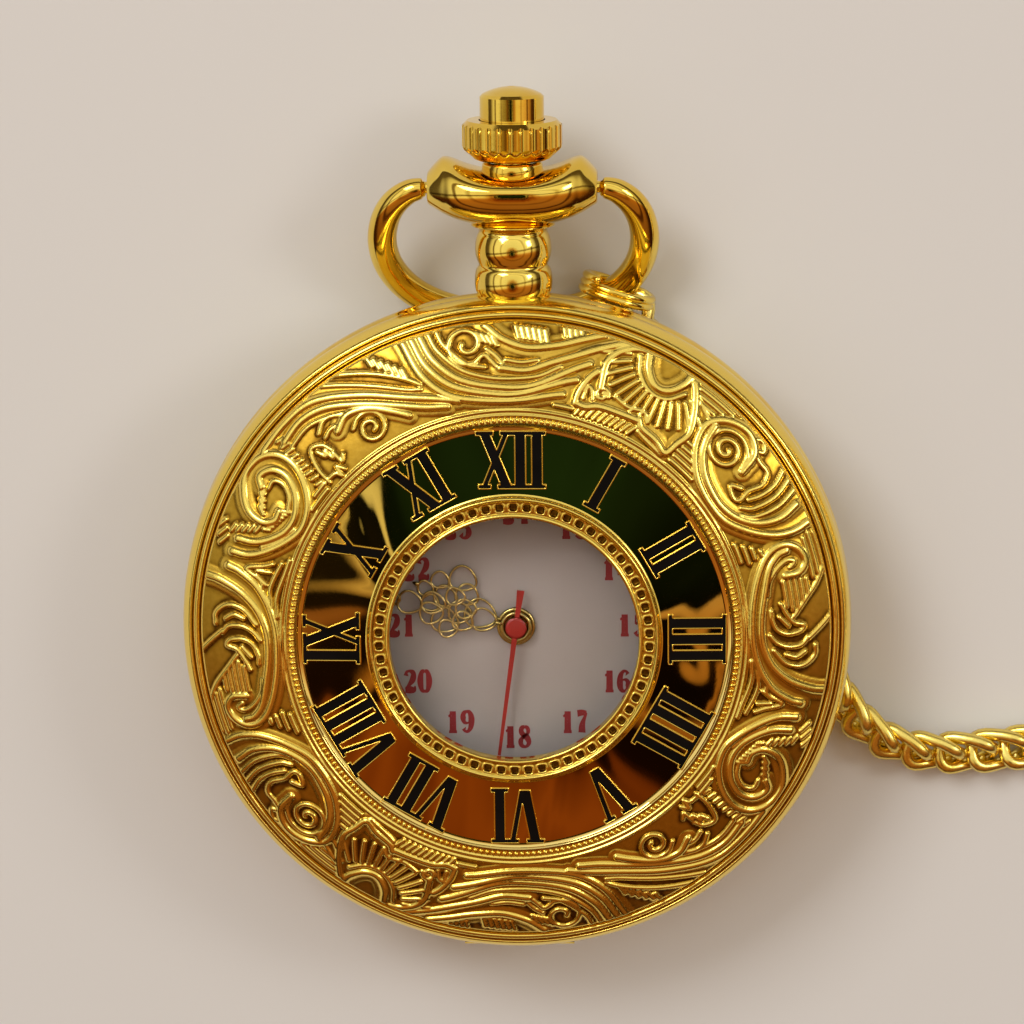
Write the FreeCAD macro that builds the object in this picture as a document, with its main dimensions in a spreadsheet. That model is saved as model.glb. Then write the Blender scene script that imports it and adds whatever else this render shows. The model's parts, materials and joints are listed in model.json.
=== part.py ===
"""A half-hunter pocket watch with a pierced front lid, a push-button crown, a bow and a chain.

Millimetres. The watch lies on its back: z = 0 is the flat of the back cover, +Z is the dial's
normal, +Y points to 12 o'clock and the crown, and the origin is the centre of the back's flat.
"""
import FreeCAD
import Part
import math
import os
import Sketcher
from FreeCAD import Placement, Rotation, Vector

doc = FreeCAD.newDocument("PocketWatch")
sheet = doc.addObject("Spreadsheet::Sheet", "Dims")

# Driving dimensions, one alias each.
DIMENSIONS = {
    # case, seen as radii and heights of its turned profile
    "case_radius": 23.5, "seam_radius": 23.3, "seam_z": 7.9, "cover_radius": 22.6, "cover_z": 5.4,
    "back_flat_radius": 11.0, "back_wall": 0.8, "case_bore": 20.0, "recess_radius": 21.6,
    "recess_z": 7.0, "case_curve": 1.95, "snap_outer": 19.9, "snap_inner": 19.2, "snap_z": 6.1,
    "gasket_outer": 20.7, "gasket_inner": 20.3, "gasket_height": 0.2,
    # lid
    "lid_gap": 0.1, "rim_radius": 22.66, "rim_z": 9.62, "field_radius": 21.77, "field_z": 10.35,
    "bead_radius": 15.3, "bead_z": 12.6, "field_curve": 22.0, "numeral_outer": 15.1,
    "numeral_inner": 10.3, "numeral_z": 12.4, "window_radius": 8.62, "window_top": 12.87,
    "lid_wall": 0.75, "skirt_outer": 21.4, "skirt_inner": 20.9, "skirt_z": 7.25,
    "glass_radius": 9.6, "glass_height": 0.45, "inlay_height": 0.08, "rim_curve": 3.0,
    "numeral_foot": 10.82, "numeral_head": 14.53, "numeral_bar": 0.72, "numeral_serif": 0.28,
    # lid hinge, below 6 o'clock
    "hinge_y": -22.9, "hinge_z": 7.95, "knuckle_radius": 0.6, "knuckle_room": 0.72,
    "lid_knuckle": 3.6, "hinge_length": 7.8, "hinge_pin_radius": 0.3, "hinge_bore": 0.34,
    # crown axis
    "axis_z": 6.8, "bow_axis_y": 30.7, "neck_base_y": 23.3, "bulb_radius": 6.3,
    "bulb_flat": 5.85, "bulb_depth": 4.2, "saddle_radius": 10.6, "saddle_y": 42.4,
    "crown_seat": 2.1,
    "tube_outer": 1.3, "tube_bore": 0.6, "tube_top_y": 33.4, "flute_radius": 0.26,
    "crown_radius": 3.45, "crown_base_y": 33.4, "crown_top_y": 35.4, "crown_cup": 2.3,
    "crown_floor_y": 34.2, "button_radius": 2.22, "button_base_y": 35.0, "button_top_y": 37.2,
    "stem_radius": 0.45, "stem_bore": 0.28, "rod_radius": 0.24, "collar_y": 19.95,
    "collar_radius": 0.62, "pinion_way": 1.15, "pinion_y": 12.3, "button_rise": 0.5,
    "latch_width": 3.0, "latch_z": 7.45,
    # bow and its ring
    "bow_wire": 1.0, "bow_pin": 0.5, "bow_pin_bore": 0.55, "bow_tilt": 30.3, "ring_radius": 2.45,
    "ring_wire": 0.42,
    # dial side
    "dial_radius": 19.0, "dial_z": 8.0, "dial_height": 0.3, "dial_hole": 0.9,
    "bezel_outer": 20.6, "bezel_bore": 19.2, "bezel_window": 18.2, "bezel_seat": 18.9,
    "bezel_lip": 20.2, "seat_z": 9.0, "bezel_top": 9.8, "crystal_radius": 18.85,
    "crystal_rise": 1.3, "crystal_edge": 1.2,
    "hour_hand_z": 8.55, "minute_hand_z": 8.85, "second_hand_z": 9.15, "hand_height": 0.1,
    "hour_hand_angle": 156.3, "minute_hand_angle": 166.5, "second_hand_angle": -97.8,
    # movement
    "movement_radius": 13.5, "plate_z": 5.6, "plate_height": 1.0, "bridge_z": 3.4,
    "bridge_height": 0.45, "battery_radius": 3.4, "battery_height": 2.1, "holder_z": 3.9,
    # chain
    "chain_width": 3.4, "coil_outer": 23.0, "coil_inner": 12.4,
}


class Size:
    """A number from the sheet together with the expression that gives it."""

    def __init__(self, value, text):
        self.value = value
        self.text = text

    def __add__(self, other):
        other = size(other)
        return Size(self.value + other.value, f"({self.text} + {other.text})")

    def __sub__(self, other):
        other = size(other)
        return Size(self.value - other.value, f"({self.text} - {other.text})")

    def __mul__(self, other):
        other = size(other)
        return Size(self.value * other.value, f"({self.text} * {other.text})")

    def __truediv__(self, other):
        other = size(other)
        return Size(self.value / other.value, f"({self.text} / {other.text})")

    def __neg__(self):
        return Size(-self.value, f"(-1 * {self.text})")


def size(number):
    return number if isinstance(number, Size) else Size(number, str(number))


def root(square):
    return Size(math.sqrt(square.value), f"sqrt({square.text})")


def fill_sheet():
    """Writes every driving dimension to the sheet and returns them as named sizes."""
    for row, (alias, value) in enumerate(DIMENSIONS.items(), 1):
        sheet.set(f"A{row}", alias)
        sheet.set(f"B{row}", str(value))
        sheet.setAlias(f"B{row}", alias)
    doc.recompute()
    return {alias: Size(sheet.get(alias), f"Dims.{alias}") for alias in DIMENSIONS}


class Named:
    """Gives a dictionary's entries as attributes."""

    def __init__(self, entries):
        self.__dict__.update(entries)


D = Named(fill_sheet())
FINISHED = {}

# Room left round a part that moves, round one that is pressed in, and round the collar.
GAP = 0.1
SLIM_GAP = 0.05
COLLAR_GAP = 0.13


def bind(obj, path, number):
    obj.setExpression(path, size(number).text)


def name_part(obj, label):
    """Labels an object as a finished sub-part."""
    obj.Label = label
    FINISHED[label] = obj
    return obj


def place(obj, base, rotation=None):
    obj.Placement = Placement(Vector(*[size(c).value for c in base]), rotation or Rotation())
    for letter, number in zip("xyz", base):
        bind(obj, f"Placement.Base.{letter}", number)
    return obj


AXES = {
    "X": Rotation(Vector(0, 1, 0), 90),
    "Y": Rotation(Vector(1, 0, 0), -90),
    "Z": Rotation(),
}


def cylinder(radius, height, base=(0, 0, 0), axis="Z"):
    obj = doc.addObject("Part::Cylinder", "Cylinder")
    bind(obj, "Radius", radius)
    bind(obj, "Height", height)
    return place(obj, base, AXES[axis])


def box(sizes, base):
    """A box from its lowest corner."""
    obj = doc.addObject("Part::Box", "Box")
    for path, number in zip(("Length", "Width", "Height"), sizes):
        bind(obj, path, number)
    return place(obj, base)


def torus(radius, wire, base=(0, 0, 0), rotation=None):
    obj = doc.addObject("Part::Torus", "Torus")
    bind(obj, "Radius1", radius)
    bind(obj, "Radius2", wire)
    return place(obj, base, rotation)


def cut(base, *tools):
    for tool in tools:
        obj = doc.addObject("Part::Cut", "Cut")
        obj.Base = base
        obj.Tool = tool
        base = obj
    return base


def fuse(*shapes):
    obj = doc.addObject("Part::MultiFuse", "Fuse")
    obj.Shapes = list(shapes)
    return obj


def common(base, tool):
    obj = doc.addObject("Part::Common", "Common")
    obj.Base = base
    obj.Tool = tool
    return obj


def group(*shapes):
    """Separate solids in one node."""
    obj = doc.addObject("Part::Compound", "Group")
    obj.Links = list(shapes)
    return obj


def ring(outer, inner, height, base=(0, 0, 0), axis="Z"):
    return cut(cylinder(outer, height, base, axis), cylinder(inner, height, base, axis))


def arc_centre(start, end, radius, side):
    """Centre of the arc from start to end. Side 1 puts it left of the way from start to end."""
    middle = (start + end) * 0.5
    way = end - start
    half = way.Length / 2
    normal = Vector(-way.y, way.x, 0).normalize()
    return middle + normal * side * math.sqrt(max(radius ** 2 - half ** 2, 0))


def turned(name, outline):
    """A body revolved about Z from an outline of (radius, height) or (radius, height, curve, side).

    An entry with a curve is reached by an arc of that radius, the others by a straight line.
    """
    body = doc.addObject("PartDesign::Body", name)
    plane = next(f for f in body.Origin.OriginFeatures if f.Role == "XZ_Plane")
    sketch = body.newObject("Sketcher::SketchObject", name + "_outline")
    sketch.AttachmentSupport = [(plane, "")]
    sketch.MapMode = "FlatFace"
    points = [Vector(size(e[0]).value, size(e[1]).value, 0) for e in outline]
    for index, entry in enumerate(outline):
        start = points[index - 1]
        end = points[index]
        if len(entry) == 2:
            sketch.addGeometry(Part.LineSegment(start, end), False)
            continue
        centre = arc_centre(start, end, size(entry[2]).value, entry[3])
        inward = ((start + end) * 0.5 - centre).normalize()
        middle = centre + inward * size(entry[2]).value
        # A sketch wants its arcs anticlockwise.
        ends = (start, end) if entry[3] == 1 else (end, start)
        sketch.addGeometry(Part.Arc(ends[0], middle, ends[1]), False)
    constrain_outline(sketch, outline, points)
    revolution = body.newObject("PartDesign::Revolution", name + "_turned")
    revolution.Profile = sketch
    revolution.ReferenceAxis = (sketch, ["V_Axis"])
    revolution.Angle = 360
    body.Tip = revolution
    return body


def outline_end(sketch, index, point):
    """Which end of a sketch edge, 1 or 2, lies on the point."""
    edge = sketch.Geometry[index]
    return 1 if (edge.StartPoint - point).Length < (edge.EndPoint - point).Length else 2


def constrain_outline(sketch, outline, points):
    """Joins the edges end to end and ties each corner and curve to its sizes."""
    last = len(outline) - 1
    for index, entry in enumerate(outline):
        following = 0 if index == last else index + 1
        end = outline_end(sketch, index, points[index])
        start = outline_end(sketch, following, points[index])
        sketch.addConstraint(Sketcher.Constraint("Coincident", index, end, following, start))
        for kind, number, line in (("DistanceX", entry[0], -2), ("DistanceY", entry[1], -1)):
            if size(number).value == 0:
                sketch.addConstraint(Sketcher.Constraint("PointOnObject", index, end, line))
                continue
            made = sketch.addConstraint(
                Sketcher.Constraint(kind, -1, 1, index, end, size(number).value))
            bind(sketch, f"Constraints[{made}]", number)
        if len(entry) == 4:
            made = sketch.addConstraint(
                Sketcher.Constraint("Radius", index, size(entry[2]).value))
            bind(sketch, f"Constraints[{made}]", entry[2])


def dome_curve(radius, rise):
    """The curve of a dome whose top lies on the axis."""
    return (radius * radius + rise * rise) / (rise * 2)


def shaped(label, shape, placement=None):
    """A sub-part whose shape comes from Part's own functions."""
    obj = doc.addObject("Part::Feature", label)
    obj.Shape = shape
    obj.Placement = placement or Placement()
    return name_part(obj, label)


# ---------------------------------------------------------------- case

def dome_radius():
    """The curve of the back, from the edge of its flat to the seam under the case."""
    reach = D.cover_radius - D.back_flat_radius
    return (reach * reach + D.cover_z * D.cover_z) / (D.cover_z * 2)


def make_back_cover():
    outer = dome_radius()
    inner = outer - D.back_wall
    reach = D.snap_inner - D.back_flat_radius
    inner_z = outer - root(inner * inner - reach * reach)
    name_part(turned("back_cover", [
        (0, 0),
        (D.back_flat_radius, 0),
        (D.cover_radius, D.cover_z, outer, 1),
        (D.snap_outer, D.cover_z),
        (D.snap_outer, D.snap_z),
        (D.snap_inner, D.snap_z),
        (D.snap_inner, inner_z),
        (D.back_flat_radius, D.back_wall, inner, -1),
        (0, D.back_wall),
    ]), "back_cover")
    gasket = ring(D.gasket_outer, D.gasket_inner, D.gasket_height, (0, 0, D.cover_z))
    name_part(gasket, "back_gasket")


def make_case_middle():
    """The middle ring, with its hinge knuckles, gasket groove, stem hole and collar room."""
    wall = turned("case_ring", [
        (D.case_bore, D.cover_z),
        (D.cover_radius, D.cover_z),
        (D.seam_radius, D.seam_z, D.case_curve, 1),
        (D.recess_radius, D.seam_z),
        (D.recess_radius, D.recess_z),
        (D.case_bore, D.recess_z),
    ])
    groove = ring(D.gasket_outer + SLIM_GAP, D.gasket_inner - SLIM_GAP,
                  D.gasket_height + SLIM_GAP, (0, 0, D.cover_z))
    hinge_room = cylinder(D.knuckle_room, D.hinge_length + GAP * 2,
                          (-(D.hinge_length / 2) - GAP, D.hinge_y, D.hinge_z), "X")
    stem_hole = cylinder(D.stem_radius + GAP, 6, (0, D.collar_y - 1, D.axis_z), "Y")
    collar_room = cylinder(D.collar_radius + COLLAR_GAP, 1.85,
                           (0, D.collar_y - SLIM_GAP, D.axis_z), "Y")
    wall = cut(wall, groove, hinge_room, stem_hole, collar_room)
    side = (D.hinge_length - D.lid_knuckle) / 2 - GAP
    left = cylinder(D.knuckle_radius, side,
                    (-(D.hinge_length / 2), D.hinge_y, D.hinge_z), "X")
    right = cylinder(D.knuckle_radius, side,
                     (D.lid_knuckle / 2 + GAP, D.hinge_y, D.hinge_z), "X")
    # Each outer knuckle stands on a foot that reaches down into the wall.
    foot = (side, 0.7, 1.0)
    foot_z = D.hinge_z - 1.15
    left_foot = box(foot, (-(D.hinge_length / 2), D.hinge_y, foot_z))
    right_foot = box(foot, (D.lid_knuckle / 2 + GAP, D.hinge_y, foot_z))
    bore = cylinder(D.hinge_pin_radius, D.hinge_length,
                    (-(D.hinge_length / 2), D.hinge_y, D.hinge_z), "X")
    name_part(cut(fuse(wall, left, right, left_foot, right_foot), bore), "case_middle")
    pin = cylinder(D.hinge_pin_radius, D.hinge_length,
                   (-(D.hinge_length / 2), D.hinge_y, D.hinge_z), "X")
    name_part(pin, "hinge_pin")


def make_lift_spring():
    """A flat curved strip under the lid's skirt, near the hinge."""
    strip = ring(D.recess_radius - GAP, D.bezel_outer + GAP, 0.15, (0, 0, D.recess_z))
    sector = box((30, 12, 1), (-15, -24, D.recess_z - 0.2))
    name_part(common(strip, sector), "lift_spring")


# ---------------------------------------------------------------- lid

def make_front_lid():
    """The domed lid with its skirt and middle hinge knuckle, cut clear of the case's knuckles."""
    edge_z = D.seam_z + D.lid_gap
    shell = turned("lid_shell", [
        (D.window_radius, D.numeral_z - 0.55),
        (D.numeral_outer, D.numeral_z - D.lid_wall),
        (D.skirt_inner, D.field_z - 0.6, D.field_curve, -1),
        (D.skirt_inner, D.skirt_z),
        (D.skirt_outer, D.skirt_z),
        (D.skirt_outer, edge_z),
        (D.seam_radius, edge_z),
        (D.rim_radius, D.rim_z, D.rim_curve, 1),
        (D.field_radius, D.rim_z + 0.3),
        (D.field_radius, D.field_z),
        (D.bead_radius, D.bead_z, D.field_curve, 1),
        (D.numeral_outer, D.numeral_z),
        (D.window_radius, D.numeral_z),
    ])
    flat = box((10.6, 2, 2), (-5.3, D.hinge_y - 2, edge_z - 0.2))
    side = (D.hinge_length - D.lid_knuckle) / 2 + GAP
    left_room = cylinder(D.knuckle_room, side,
                         (-(D.hinge_length / 2) - GAP, D.hinge_y, D.hinge_z), "X")
    right_room = cylinder(D.knuckle_room, side, (D.lid_knuckle / 2, D.hinge_y, D.hinge_z), "X")
    knuckle = cylinder(D.knuckle_radius, D.lid_knuckle,
                       (-(D.lid_knuckle / 2), D.hinge_y, D.hinge_z), "X")
    bore = cylinder(D.hinge_bore, D.lid_knuckle,
                    (-(D.lid_knuckle / 2), D.hinge_y, D.hinge_z), "X")
    catch = box((3.4, 1.2, 0.6), (-1.7, D.skirt_inner - 0.3, 7.35))
    collar_room = cylinder(D.collar_radius + COLLAR_GAP, 2.0,
                           (0, D.collar_y - SLIM_GAP, D.axis_z), "Y")
    shell = cut(shell, flat, left_room, right_room, catch, collar_room)
    name_part(cut(fuse(shell, knuckle), bore), "front_lid")


def make_window():
    """The pierced ring round the window, and the glass with its retaining ring below it."""
    height = D.window_top - D.numeral_z
    bezel = ring(D.numeral_inner, D.window_radius, height, (0, 0, D.numeral_z))
    name_part(bezel, "window_bezel")
    glass_z = D.numeral_z - D.lid_wall - D.glass_height
    name_part(cylinder(D.glass_radius, D.glass_height, (0, 0, glass_z)), "window_glass")
    name_part(ring(D.glass_radius + 0.8, D.glass_radius, D.glass_height, (0, 0, glass_z)),
              "glass_ring")


# Each letter's strokes: place at the top, place at the foot, weight, and 1 if its foot has a serif.
STROKES = {
    "I": ((0.0, 0.0, 1.0, 1),),
    "V": ((-0.78, -0.08, 1.0, 0), (0.8, 0.12, 0.5, 0)),
    "X": ((-0.75, 0.75, 1.0, 1), (0.75, -0.75, 0.5, 1)),
}
LETTER_WIDTH = {"I": 1.15, "V": 2.25, "X": 2.25}
SERIF_REACH = 0.5
NUMERALS = ("XII", "I", "II", "III", "IIII", "V", "VI", "VII", "VIII", "IX", "X", "XI")


def stroke_solid(top, bottom, foot, head, width, z_low, height):
    """A slanted bar between two radii, top and bottom being its sideways places."""
    half = width / 2
    corners = [
        Vector(bottom - half, foot, z_low),
        Vector(bottom + half, foot, z_low),
        Vector(top + half, head, z_low),
        Vector(top - half, head, z_low),
    ]
    face = Part.Face(Part.makePolygon(corners + corners[:1]))
    return face.extrude(Vector(0, 0, height))


def numeral_solid(text, foot, head, z_low, height):
    """One Roman numeral standing between two radii at 12 o'clock."""
    place_x = -sum(LETTER_WIDTH[letter] for letter in text) / 2
    bars = []
    serif = D.numeral_serif.value / 2
    for letter in text:
        middle = place_x + LETTER_WIDTH[letter] / 2
        for top, bottom, weight, footed in STROKES[letter]:
            width = weight * D.numeral_bar.value
            bars.append(stroke_solid(middle + top, middle + bottom, foot, head, width,
                                     z_low, height))
            ends = ((top, head), (bottom, foot)) if footed else ((top, head),)
            for side, radius in ends:
                bars.append(stroke_solid(middle + side, middle + side, radius - serif,
                                         radius + serif, width + SERIF_REACH, z_low, height))
        place_x += LETTER_WIDTH[letter]
    solid = bars[0]
    for bar in bars[1:]:
        solid = solid.fuse(bar)
    return solid.removeSplitter()


def make_numerals():
    """Twelve enamel numerals lying on the lid's polished ring, feet towards the centre."""
    solids = []
    for hour, text in enumerate(NUMERALS):
        solid = numeral_solid(text, D.numeral_foot.value, D.numeral_head.value,
                              D.numeral_z.value, D.inlay_height.value)
        solid.rotate(Vector(0, 0, 0), Vector(0, 0, 1), -30 * hour)
        solids.append(solid)
    shaped("numeral_inlays", Part.Compound(solids))


# ---------------------------------------------------------------- pendant, crown and bow

UP_Y = Rotation(Vector(1, 0, 0), -90)


def on_crown_axis(body):
    """Stands a body, turned about its own Z, on the crown's axis."""
    return place(body, (0, 0, D.axis_z), UP_Y)


def make_pendant():
    """The two-beaded neck and the saddle-topped bulb that carries the bow."""
    base = D.neck_base_y
    wall = on_crown_axis(turned("pendant_turned", [
        (D.tube_bore + 0.7, base - 0.9),
        (2.2, base - 0.9),
        (2.2, base + 0.35),
        (2.1, base + 2.6, 1.35, 1),
        (2.2, base + 5.1, 1.45, 1),
        (D.bulb_radius - 0.35, base + 6.6, 6.5, 1),
        (D.bulb_radius, base + 8.4, 2.6, 1),
        (4.6, base + 9.2, 2.2, 1),
        (D.tube_bore + 0.7, base + 9.2),
    ]))
    neck_room = cylinder(3.0, 7.0, (0, base - 1.2, D.axis_z), "Y")
    barrel = cylinder(D.bulb_depth, 16, (-8, D.bow_axis_y, D.axis_z), "X")
    wall = common(wall, fuse(barrel, neck_room))
    # The saddle leaves a round seat standing under the crown.
    seat = cylinder(D.crown_seat, 4.0, (0, base + 7.0, D.axis_z), "Y")
    cutters = [cut(cylinder(D.saddle_radius, 12, (0, D.saddle_y, D.axis_z - 6)), seat)]
    for side in (1, -1):
        flat_x = D.bulb_flat if side == 1 else -D.bulb_flat - 2
        hole_x = D.bulb_flat - 1.5 if side == 1 else -D.bulb_flat - 1
        cutters.append(box((2, 12, 14), (flat_x, base + 4, -0.2)))
        cutters.append(cylinder(D.bow_pin_bore, 2.5, (hole_x, D.bow_axis_y, D.axis_z), "X"))
    # The neck's foot sinks into the case wall, and stands clear of the lid's rim above it.
    case_bed = cylinder(D.seam_radius - 0.35, 20, (0, 0, -0.5))
    lid_room = cylinder(D.case_radius + GAP, 8, (0, 0, D.seam_z - SLIM_GAP))
    name_part(cut(wall, *cutters, case_bed, lid_room), "pendant")
    foot_y = D.case_radius + GAP
    tube = ring(D.tube_outer, D.tube_bore, D.tube_top_y - foot_y, (0, foot_y, D.axis_z), "Y")
    name_part(tube, "pendant_tube")
    gasket = torus(D.tube_outer + 0.17, 0.15, (0, D.tube_top_y - 0.55, D.axis_z), AXES["Y"])
    name_part(gasket, "crown_gasket")


def make_crown():
    """The fluted crown: a cup for the button above, a pocket for the pendant tube below."""
    turned_crown = on_crown_axis(turned("crown_turned", [
        (D.tube_outer + 0.4, D.crown_base_y - 0.75),
        (2.4, D.crown_base_y - 0.75),
        (D.crown_radius - 0.25, D.crown_base_y),
        (D.crown_radius, D.crown_base_y + 0.25),
        (D.crown_radius, D.crown_top_y - 0.35),
        (D.crown_radius - 0.35, D.crown_top_y),
        (D.crown_cup, D.crown_top_y),
        (D.crown_cup, D.crown_floor_y),
        (D.stem_radius, D.crown_floor_y),
        (D.stem_radius, D.crown_floor_y - 0.6),
        (D.tube_outer + 0.4, D.crown_floor_y - 0.6),
    ]))
    count = 28
    reach = D.crown_radius + D.flute_radius / 2
    flutes = []
    for index in range(count):
        angle = 2 * math.pi * index / count
        flutes.append(cylinder(D.flute_radius, 1.75, (
            reach * math.cos(angle),
            D.crown_base_y + GAP,
            D.axis_z + reach * math.sin(angle)), "Y"))
    name_part(cut(turned_crown, group(*flutes)), "crown")


def make_stem():
    """The hollow setting stem, slotted near its inner end for the button's cross pin."""
    stem = ring(D.stem_radius, D.stem_bore, D.crown_floor_y - D.pinion_y,
                (0, D.pinion_y, D.axis_z), "Y")
    slot = box((1.4, 1.45, 0.3), (-0.7, D.collar_y - 0.85, D.axis_z - 0.15))
    name_part(cut(stem, slot), "setting_stem")
    pinion = gear_solid(0.95, 0.7, 12, 0.9, D.stem_radius.value)
    shaped("clutch_pinion", pinion,
           Placement(Vector(0, D.pinion_y.value, D.axis_z.value), UP_Y))


def make_button():
    """The push button, and the rod that carries its push to the latch."""
    height = D.button_top_y - D.button_base_y
    cap = on_crown_axis(turned("button_turned", [
        (D.rod_radius, D.button_base_y + 1.6),
        (D.button_radius - 0.5, D.button_base_y + 1.6),
        (D.button_radius - 0.5, D.button_base_y),
        (D.button_radius, D.button_base_y),
        (D.button_radius, D.button_base_y + height - 0.2),
        (D.button_radius - 0.2, D.button_base_y + height),
        (0, D.button_base_y + height + D.button_rise,
         dome_curve(D.button_radius - 0.2, D.button_rise), 1),
        (0, D.button_base_y + height - 0.3),
        (D.rod_radius, D.button_base_y + height - 0.3),
    ]))
    name_part(cap, "crown_button")
    rod = cylinder(D.rod_radius, D.button_top_y - 0.3 - (D.collar_y - 0.1),
                   (0, D.collar_y - 0.1, D.axis_z), "Y")
    pin = cylinder(0.12, 1.1, (-0.55, D.collar_y + 0.2, D.axis_z), "X")
    collar = ring(D.collar_radius, D.stem_radius + 0.03, 0.4, (0, D.collar_y, D.axis_z), "Y")
    name_part(fuse(rod, pin, collar), "button_rod")


def make_button_spring():
    """The coil spring under the button, drawn at its pressed height."""
    turns_height = 1.2
    helix = Part.makeHelix(0.4, turns_height, 1.1)
    profile = Part.Wire(Part.makeCircle(0.12, Vector(1.1, 0, 0), Vector(0, 1, 0)))
    coil = Part.Wire(helix).makePipeShell([profile], True, True)
    spot = Vector(0, D.crown_floor_y.value + 0.13, D.axis_z.value)
    shaped("button_spring", coil, Placement(spot, UP_Y))


def make_latch():
    """The catch: a plate whose nose reaches the lid's skirt and whose fork meets the collar."""
    nose_y = D.skirt_inner - 0.05
    plate = box((D.latch_width, nose_y - 19.3, 0.3), (-(D.latch_width / 2), 19.3, D.latch_z))
    fork = box((1.7, 0.4, 1.1), (-0.85, D.collar_y - 0.45, 6.4))
    gap = box((1.04, 1, 1.4), (-0.52, D.collar_y - 0.8, 5.9))
    name_part(fuse(plate, cut(fork, gap)), "lid_latch")


def rounded_route(corners):
    """A wire of straight runs joined by tangent arcs, and the arcs' radii."""
    edges = []
    radii = []
    start = corners[0]
    for before, corner, after in zip(corners, corners[1:], corners[2:]):
        into = corner - before
        out = after - corner
        half_turn = into.getAngle(out) / 2
        reach = 0.45 * min(into.Length, out.Length)
        radii.append(reach / math.tan(half_turn))
        first = corner - into.normalize() * reach
        last = corner + out.normalize() * reach
        inward = (first + last) * 0.5 - corner
        to_arc = radii[-1] * (1 / math.cos(half_turn) - 1)
        middle = corner + inward.normalize() * to_arc
        edges.append(Part.LineSegment(start, first).toShape())
        edges.append(Part.Arc(first, middle, last).toShape())
        start = last
    edges.append(Part.LineSegment(start, corners[-1]).toShape())
    return Part.Wire(edges), radii


def tube_along(wire, radius):
    start = wire.Vertexes[0].Point
    direction = wire.Edges[0].tangentAt(wire.Edges[0].FirstParameter)
    section = Part.Wire(Part.makeCircle(radius, start, direction))
    return wire.makePipeShell([section], True, False)


BOW_HALF = ((6.75, 0.0), (8.85, 1.5), (9.45, 4.9), (8.5, 8.3), (5.8, 10.5))


def make_bow():
    """The bow in its own plane, closed end at -Y, swung back under the case's edge."""
    right = [Vector(x, -reach, 0) for x, reach in BOW_HALF]
    left = [Vector(-x, -reach, 0) for x, reach in reversed(BOW_HALF)]
    end = [Vector(1.9, -11.25, 0), Vector(-1.9, -11.25, 0)]
    wire, _ = rounded_route(right + end + left)
    loop = tube_along(wire, D.bow_wire.value)
    inner = D.bulb_flat.value - 1.4
    outer = BOW_HALF[0][0] + 0.5
    for side in (1, -1):
        pin = Part.makeCylinder(D.bow_pin.value, outer - inner, Vector(side * inner, 0, 0),
                                Vector(side, 0, 0))
        loop = loop.fuse(pin)
    swing = Rotation(Vector(1, 0, 0), D.bow_tilt.value)
    shaped("bow", loop, Placement(Vector(0, D.bow_axis_y.value, D.axis_z.value), swing))


RING_CENTRE = Vector(7.15, 22.8, 2.95)
RING_SIDEWAYS = Vector(0.94, -0.33, 0.0)
RING_UPWARD = Vector(0.0, 0.05, 1.0)


def make_split_ring():
    """The jump ring that links the bow and the chain."""
    normal = RING_SIDEWAYS.cross(RING_UPWARD).normalize()
    name_part(torus(D.ring_radius, D.ring_wire, tuple(RING_CENTRE),
                    Rotation(Vector(0, 0, 1), normal)), "split_ring")


# ---------------------------------------------------------------- chain

CHAIN_Z = 1.72
COIL_CENTRE = Vector(61.0, 10.0, 0)
CHAIN_ROUTE = (
    (9.7, 19.7), (13.4, 17.2), (16.9, 13.8), (19.8, 9.2), (21.4, 4.0), (22.1, -1.3),
    (22.3, -6.3), (25.9, -10.0), (31.0, -11.2), (36.4, -10.8), (42.0, -10.1), (48.0, -10.6),
    (54.0, -11.5), (61.0, -11.3),
)


def make_chain():
    """The chain's run as a round tube, its put-away coil as a washer, and its end clasp."""
    corners = [Vector(x, y, CHAIN_Z) for x, y in CHAIN_ROUTE]
    wire, radii = rounded_route(corners)
    radius = D.chain_width.value / 2
    tube = tube_along(wire, radius)
    print("chain radii", [round(value, 1) for value in radii])
    print("chain length", round(wire.Length, 1), "volume ratio",
          round(tube.Volume / (math.pi * radius ** 2 * wire.Length), 4))
    shaped("chain_run", tube)
    coil = ring(D.coil_outer, D.coil_inner, D.chain_width,
                (COIL_CENTRE.x, COIL_CENTRE.y, CHAIN_Z - radius))
    # The run enters the coil along its outermost turn.
    entry = box((17, 6, 5), (COIL_CENTRE.x - 17, COIL_CENTRE.y - 24.7, -0.5))
    name_part(cut(coil, entry), "chain_coil")
    body = box((7.5, 3.6, 2.4), (COIL_CENTRE.x - 5.2, COIL_CENTRE.y - 1.8, 0.2))
    hook = torus(2.1, 0.6, (COIL_CENTRE.x + 4.1, COIL_CENTRE.y, 1.4))
    name_part(fuse(body, hook), "end_clasp")


# ---------------------------------------------------------------- dial side

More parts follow.
